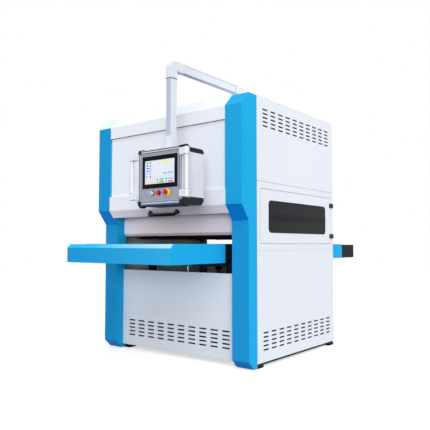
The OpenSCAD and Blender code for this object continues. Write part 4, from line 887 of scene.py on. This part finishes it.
def dress_vents():
    """Black filter mats behind every field of vent slots, dark as painted shade for the inside seen through
    the slots.
    """
    side_low, side_high = edges_of("lower_side_panels")
    top_high = edges_of("upper_side_panels")[1]
    front_low, front_high = edges_of("front_panels")
    margin, field = 66.0, 178.0
    end = 40.0
    mat_front, mat_back = 3.2, 5.0
    for side, s in SIDES:
        near, far = sorted((s * (side_high.x - mat_back), s * (side_high.x - mat_front)))
        low_z = side_low.z + margin
        high_z = top_high.z - margin
        blocks("vent_shade_mats_" + side, "black_rubber", "root",
               [((near, side_low.y + end, low_z), (far, side_high.y - end, low_z + field)),
                ((near, side_low.y + end, high_z - field), (far, side_high.y - end, high_z))])
    low_z = front_low.z + margin
    blocks("vent_shade_mat_front", "black_rubber", "root",
           [((front_low.x + end, front_low.y + mat_front, low_z),
             (front_high.x - end, front_low.y + mat_back, low_z + field))])


def dress_base():
    """Washers round the anchor holes."""
    pad_x, pad_top, hole, rim, thick = 609.6, 20.0, 9.6, 22.0, 2.5
    spots = [(s * pad_x, y, pad_top) for s in (-1, 1) for y in (232.0, 1382.0)]
    mesh = bmesh.new()
    for x, y, z in spots:
        add_turned(mesh, [(hole, 0.0), (rim, 0.0), (rim, thick), (hole, thick)],
                   axis_matrix((0, 0, 1), at(x, y, z)), 28)
    piece("anchor_washers", mesh, "galvanised", "root", smooth=True)


def dress_ducts():
    """Rolled beads and screws of the extraction spigots."""
    low_corner = edges_of("extraction_duct")[0]
    flange, radius, z = 100.0, 75.0, 1600.0
    mids = (-300.0, 300.0)
    screw_ring = flange - 11.0
    mesh = bmesh.new()
    for x in mids:
        matrix = axis_matrix((0, 1, 0), at(x, low_corner.y, z))
        for height in (58.0, 70.0):
            add_turned(mesh, [(radius - 0.5, height - 4.0), (radius + 3.0, height),
                              (radius - 0.5, height + 4.0)], matrix, 48)
    piece("duct_beads", mesh, "galvanised", "root", smooth=True)
    spots = [(x + screw_ring * math.cos(a), low_corner.y + 3.0, z + screw_ring * math.sin(a))
             for x in mids for a in (math.pi / 4 + k * math.pi / 2 for k in range(4))]
    screws("duct_screws", spots, (0, 1, 0), 5.0 * MM, "root")


def dress_panels():
    """Small screws along the covers that are taken off for service."""
    x = edges_of("lower_side_panels")[1].x
    y0, y1 = 192.0, 1430.0
    inset = 16.0
    rows = (50.0, 835.0, 1381.0, 1981.0)
    for side, s in SIDES:
        spots = [(s * x, y, z) for z in rows for y in (y0 + inset, (y0 + y1) / 2, y1 - inset)]
        screws("side_panel_screws_" + side, spots, (s, 0, 0), 3.4 * MM, "root", "white_paint")
    back = edges_of("rear_panels")[1].y
    spots = [(s * px, back, z) for s in (-1, 1) for px in (735.0, 250.0)
             for z in (50.0, 664.0, 967.0, 1981.0)]
    screws("rear_panel_screws", spots, (0, 1, 0), 5.0 * MM, "root", "white_paint")


# Table and heads

def dress_table():
    """Screws of the shrouds and of the outfeed rack."""
    low_corner, high_corner = edges_of("front_shroud")
    x = high_corner.x
    rear_high = edges_of("rear_shroud")[1]
    ys = (low_corner.y + 60.0, low_corner.y + 300.0, high_corner.y - 24.0)
    for side, s in SIDES:
        spots = [(s * x, y, low_corner.z + 14.0) for y in ys]
        spots += [(s * x, rear_high.y + low_corner.y - y, low_corner.z + 14.0) for y in ys]
        screws("shroud_screws_" + side, spots, (s, 0, 0), 3.6 * MM, "table", "blue_paint")
    rack_low, rack_high = edges_of("outfeed_rack")
    spots = [(s * rack_high.x, y, rack_low.z + dz) for s in (-1, 1)
             for y in (rack_low.y + 30.0, rack_high.y - 30.0) for dz in (25.0, 105.0)]
    mesh = bmesh.new()
    for px, y, z in spots:
        add_screw(mesh, at(px, y, z), (1.0 if px > 0 else -1.0, 0, 0), 6.0 * MM)
    piece("rack_screws", mesh, "bright_steel", "table")


def dress_motors():
    """Fins and cowls of the three motors."""
    low_corner, high_corner = edges_of("conveyor_gearmotor")
    x = low_corner.x + 45.0
    z = (low_corner.z + high_corner.z) / 2
    motor_trim("gearmotor_fins", "table", (x, high_corner.y - 112.0, z), (0, -1, 0),
               length=198.0, radius=41.0, fins=20, proud=5.0)
    low_corner, high_corner = edges_of("belt_motor")
    y, z = low_corner.y + 120.0, high_corner.z - 120.0
    motor_trim("belt_motor_fins", "root", (low_corner.x + 20.0, y, z), (1, 0, 0),
               length=330.0, radius=119.0, fins=32, proud=8.0)
    low_corner, high_corner = edges_of("brush_gearbox")
    top = high_corner.z
    row_front, row_rear = 780.0, 1205.0
    motor_trim("brush_motor_fins", "root", (0.0, (row_front + row_rear) / 2, top - 262.0), (0, 0, 1),
               length=255.0, radius=109.0, fins=28, proud=8.0)


# Studio

def make_world():
    """White where it is seen, a soft even sky for the light."""
    world = bpy.data.worlds.new("studio")
    bpy.context.scene.world = world
    world.use_nodes = True
    tree = world.node_tree
    sky = tree.nodes["Background"]
    sky.inputs["Color"].default_value = SKY
    sky.inputs["Strength"].default_value = SKY_STRENGTH
    seen = tree.nodes.new("ShaderNodeBackground")
    seen.inputs["Color"].default_value = (1.0, 1.0, 1.0, 1.0)
    mix_seen(tree, sky.outputs["Background"], seen.outputs["Background"],
             tree.nodes["World Output"].inputs["Surface"])


def mix_seen(tree, plain, seen, target):
    """Shows one shader to camera, glossy and transmission rays and the other to the light."""
    path = tree.nodes.new("ShaderNodeLightPath")
    rays = path.outputs["Is Camera Ray"]
    for name in ("Is Glossy Ray", "Is Transmission Ray"):
        either = tree.nodes.new("ShaderNodeMath")
        either.operation = "MAXIMUM"
        tree.links.new(rays, either.inputs[0])
        tree.links.new(path.outputs[name], either.inputs[1])
        rays = either.outputs["Value"]
    mix = tree.nodes.new("ShaderNodeMixShader")
    tree.links.new(rays, mix.inputs["Fac"])
    tree.links.new(plain, mix.inputs[1])
    tree.links.new(seen, mix.inputs[2])
    tree.links.new(mix.outputs["Shader"], target)


def make_floor():
    """Pale floor that shows white where it is lit and keeps the machine's shadow."""
    mesh = bmesh.new()
    bmesh.ops.create_grid(mesh, x_segments=1, y_segments=1, size=FLOOR_HALF)
    data = bpy.data.meshes.new("floor")
    mesh.to_mesh(data)
    mesh.free()
    floor = bpy.data.objects.new("floor", data)
    bpy.context.scene.collection.objects.link(floor)
    paint = Paint("floor", FLOOR_GREY, 0.9, gloss=0.0)
    tree = paint.tree
    glow = tree.nodes.new("ShaderNodeEmission")
    glow.inputs["Strength"].default_value = FLOOR_WHITE
    pale = tree.nodes.new("ShaderNodeBsdfDiffuse")
    pale.inputs["Color"].default_value = FLOOR_PALE
    both = tree.nodes.new("ShaderNodeAddShader")
    tree.links.new(pale.outputs["BSDF"], both.inputs[0])
    tree.links.new(glow.outputs["Emission"], both.inputs[1])
    mix_seen(tree, paint.shader.outputs["BSDF"], both.outputs["Shader"],
             tree.nodes["Material Output"].inputs["Surface"])
    data.materials.append(paint.material)


def make_lamp(name, direction, strength, softness):
    """Soft sun that shines from a direction."""
    data = bpy.data.lights.new(name, "SUN")
    data.energy = strength
    data.angle = math.radians(softness)
    lamp = bpy.data.objects.new(name, data)
    bpy.context.scene.collection.objects.link(lamp)
    lamp.rotation_mode = "QUATERNION"
    lamp.rotation_quaternion = Vector(direction).to_track_quat("Z", "Y")


make_camera()
paint_nodes()
dress_panel()
dress_controls()
draw_screen()
dress_grips()
dress_arm()
dress_front_door()
dress_side_door()
dress_seams()
dress_vents()
dress_base()
dress_ducts()
dress_panels()
dress_table()
dress_motors()
bpy.context.scene.view_settings.view_transform = "Standard"
make_world()
make_floor()
make_lamp("key", KEY_FROM, KEY_STRENGTH, KEY_SOFTNESS)
make_lamp("fill", FILL_FROM, FILL_STRENGTH, FILL_SOFTNESS)
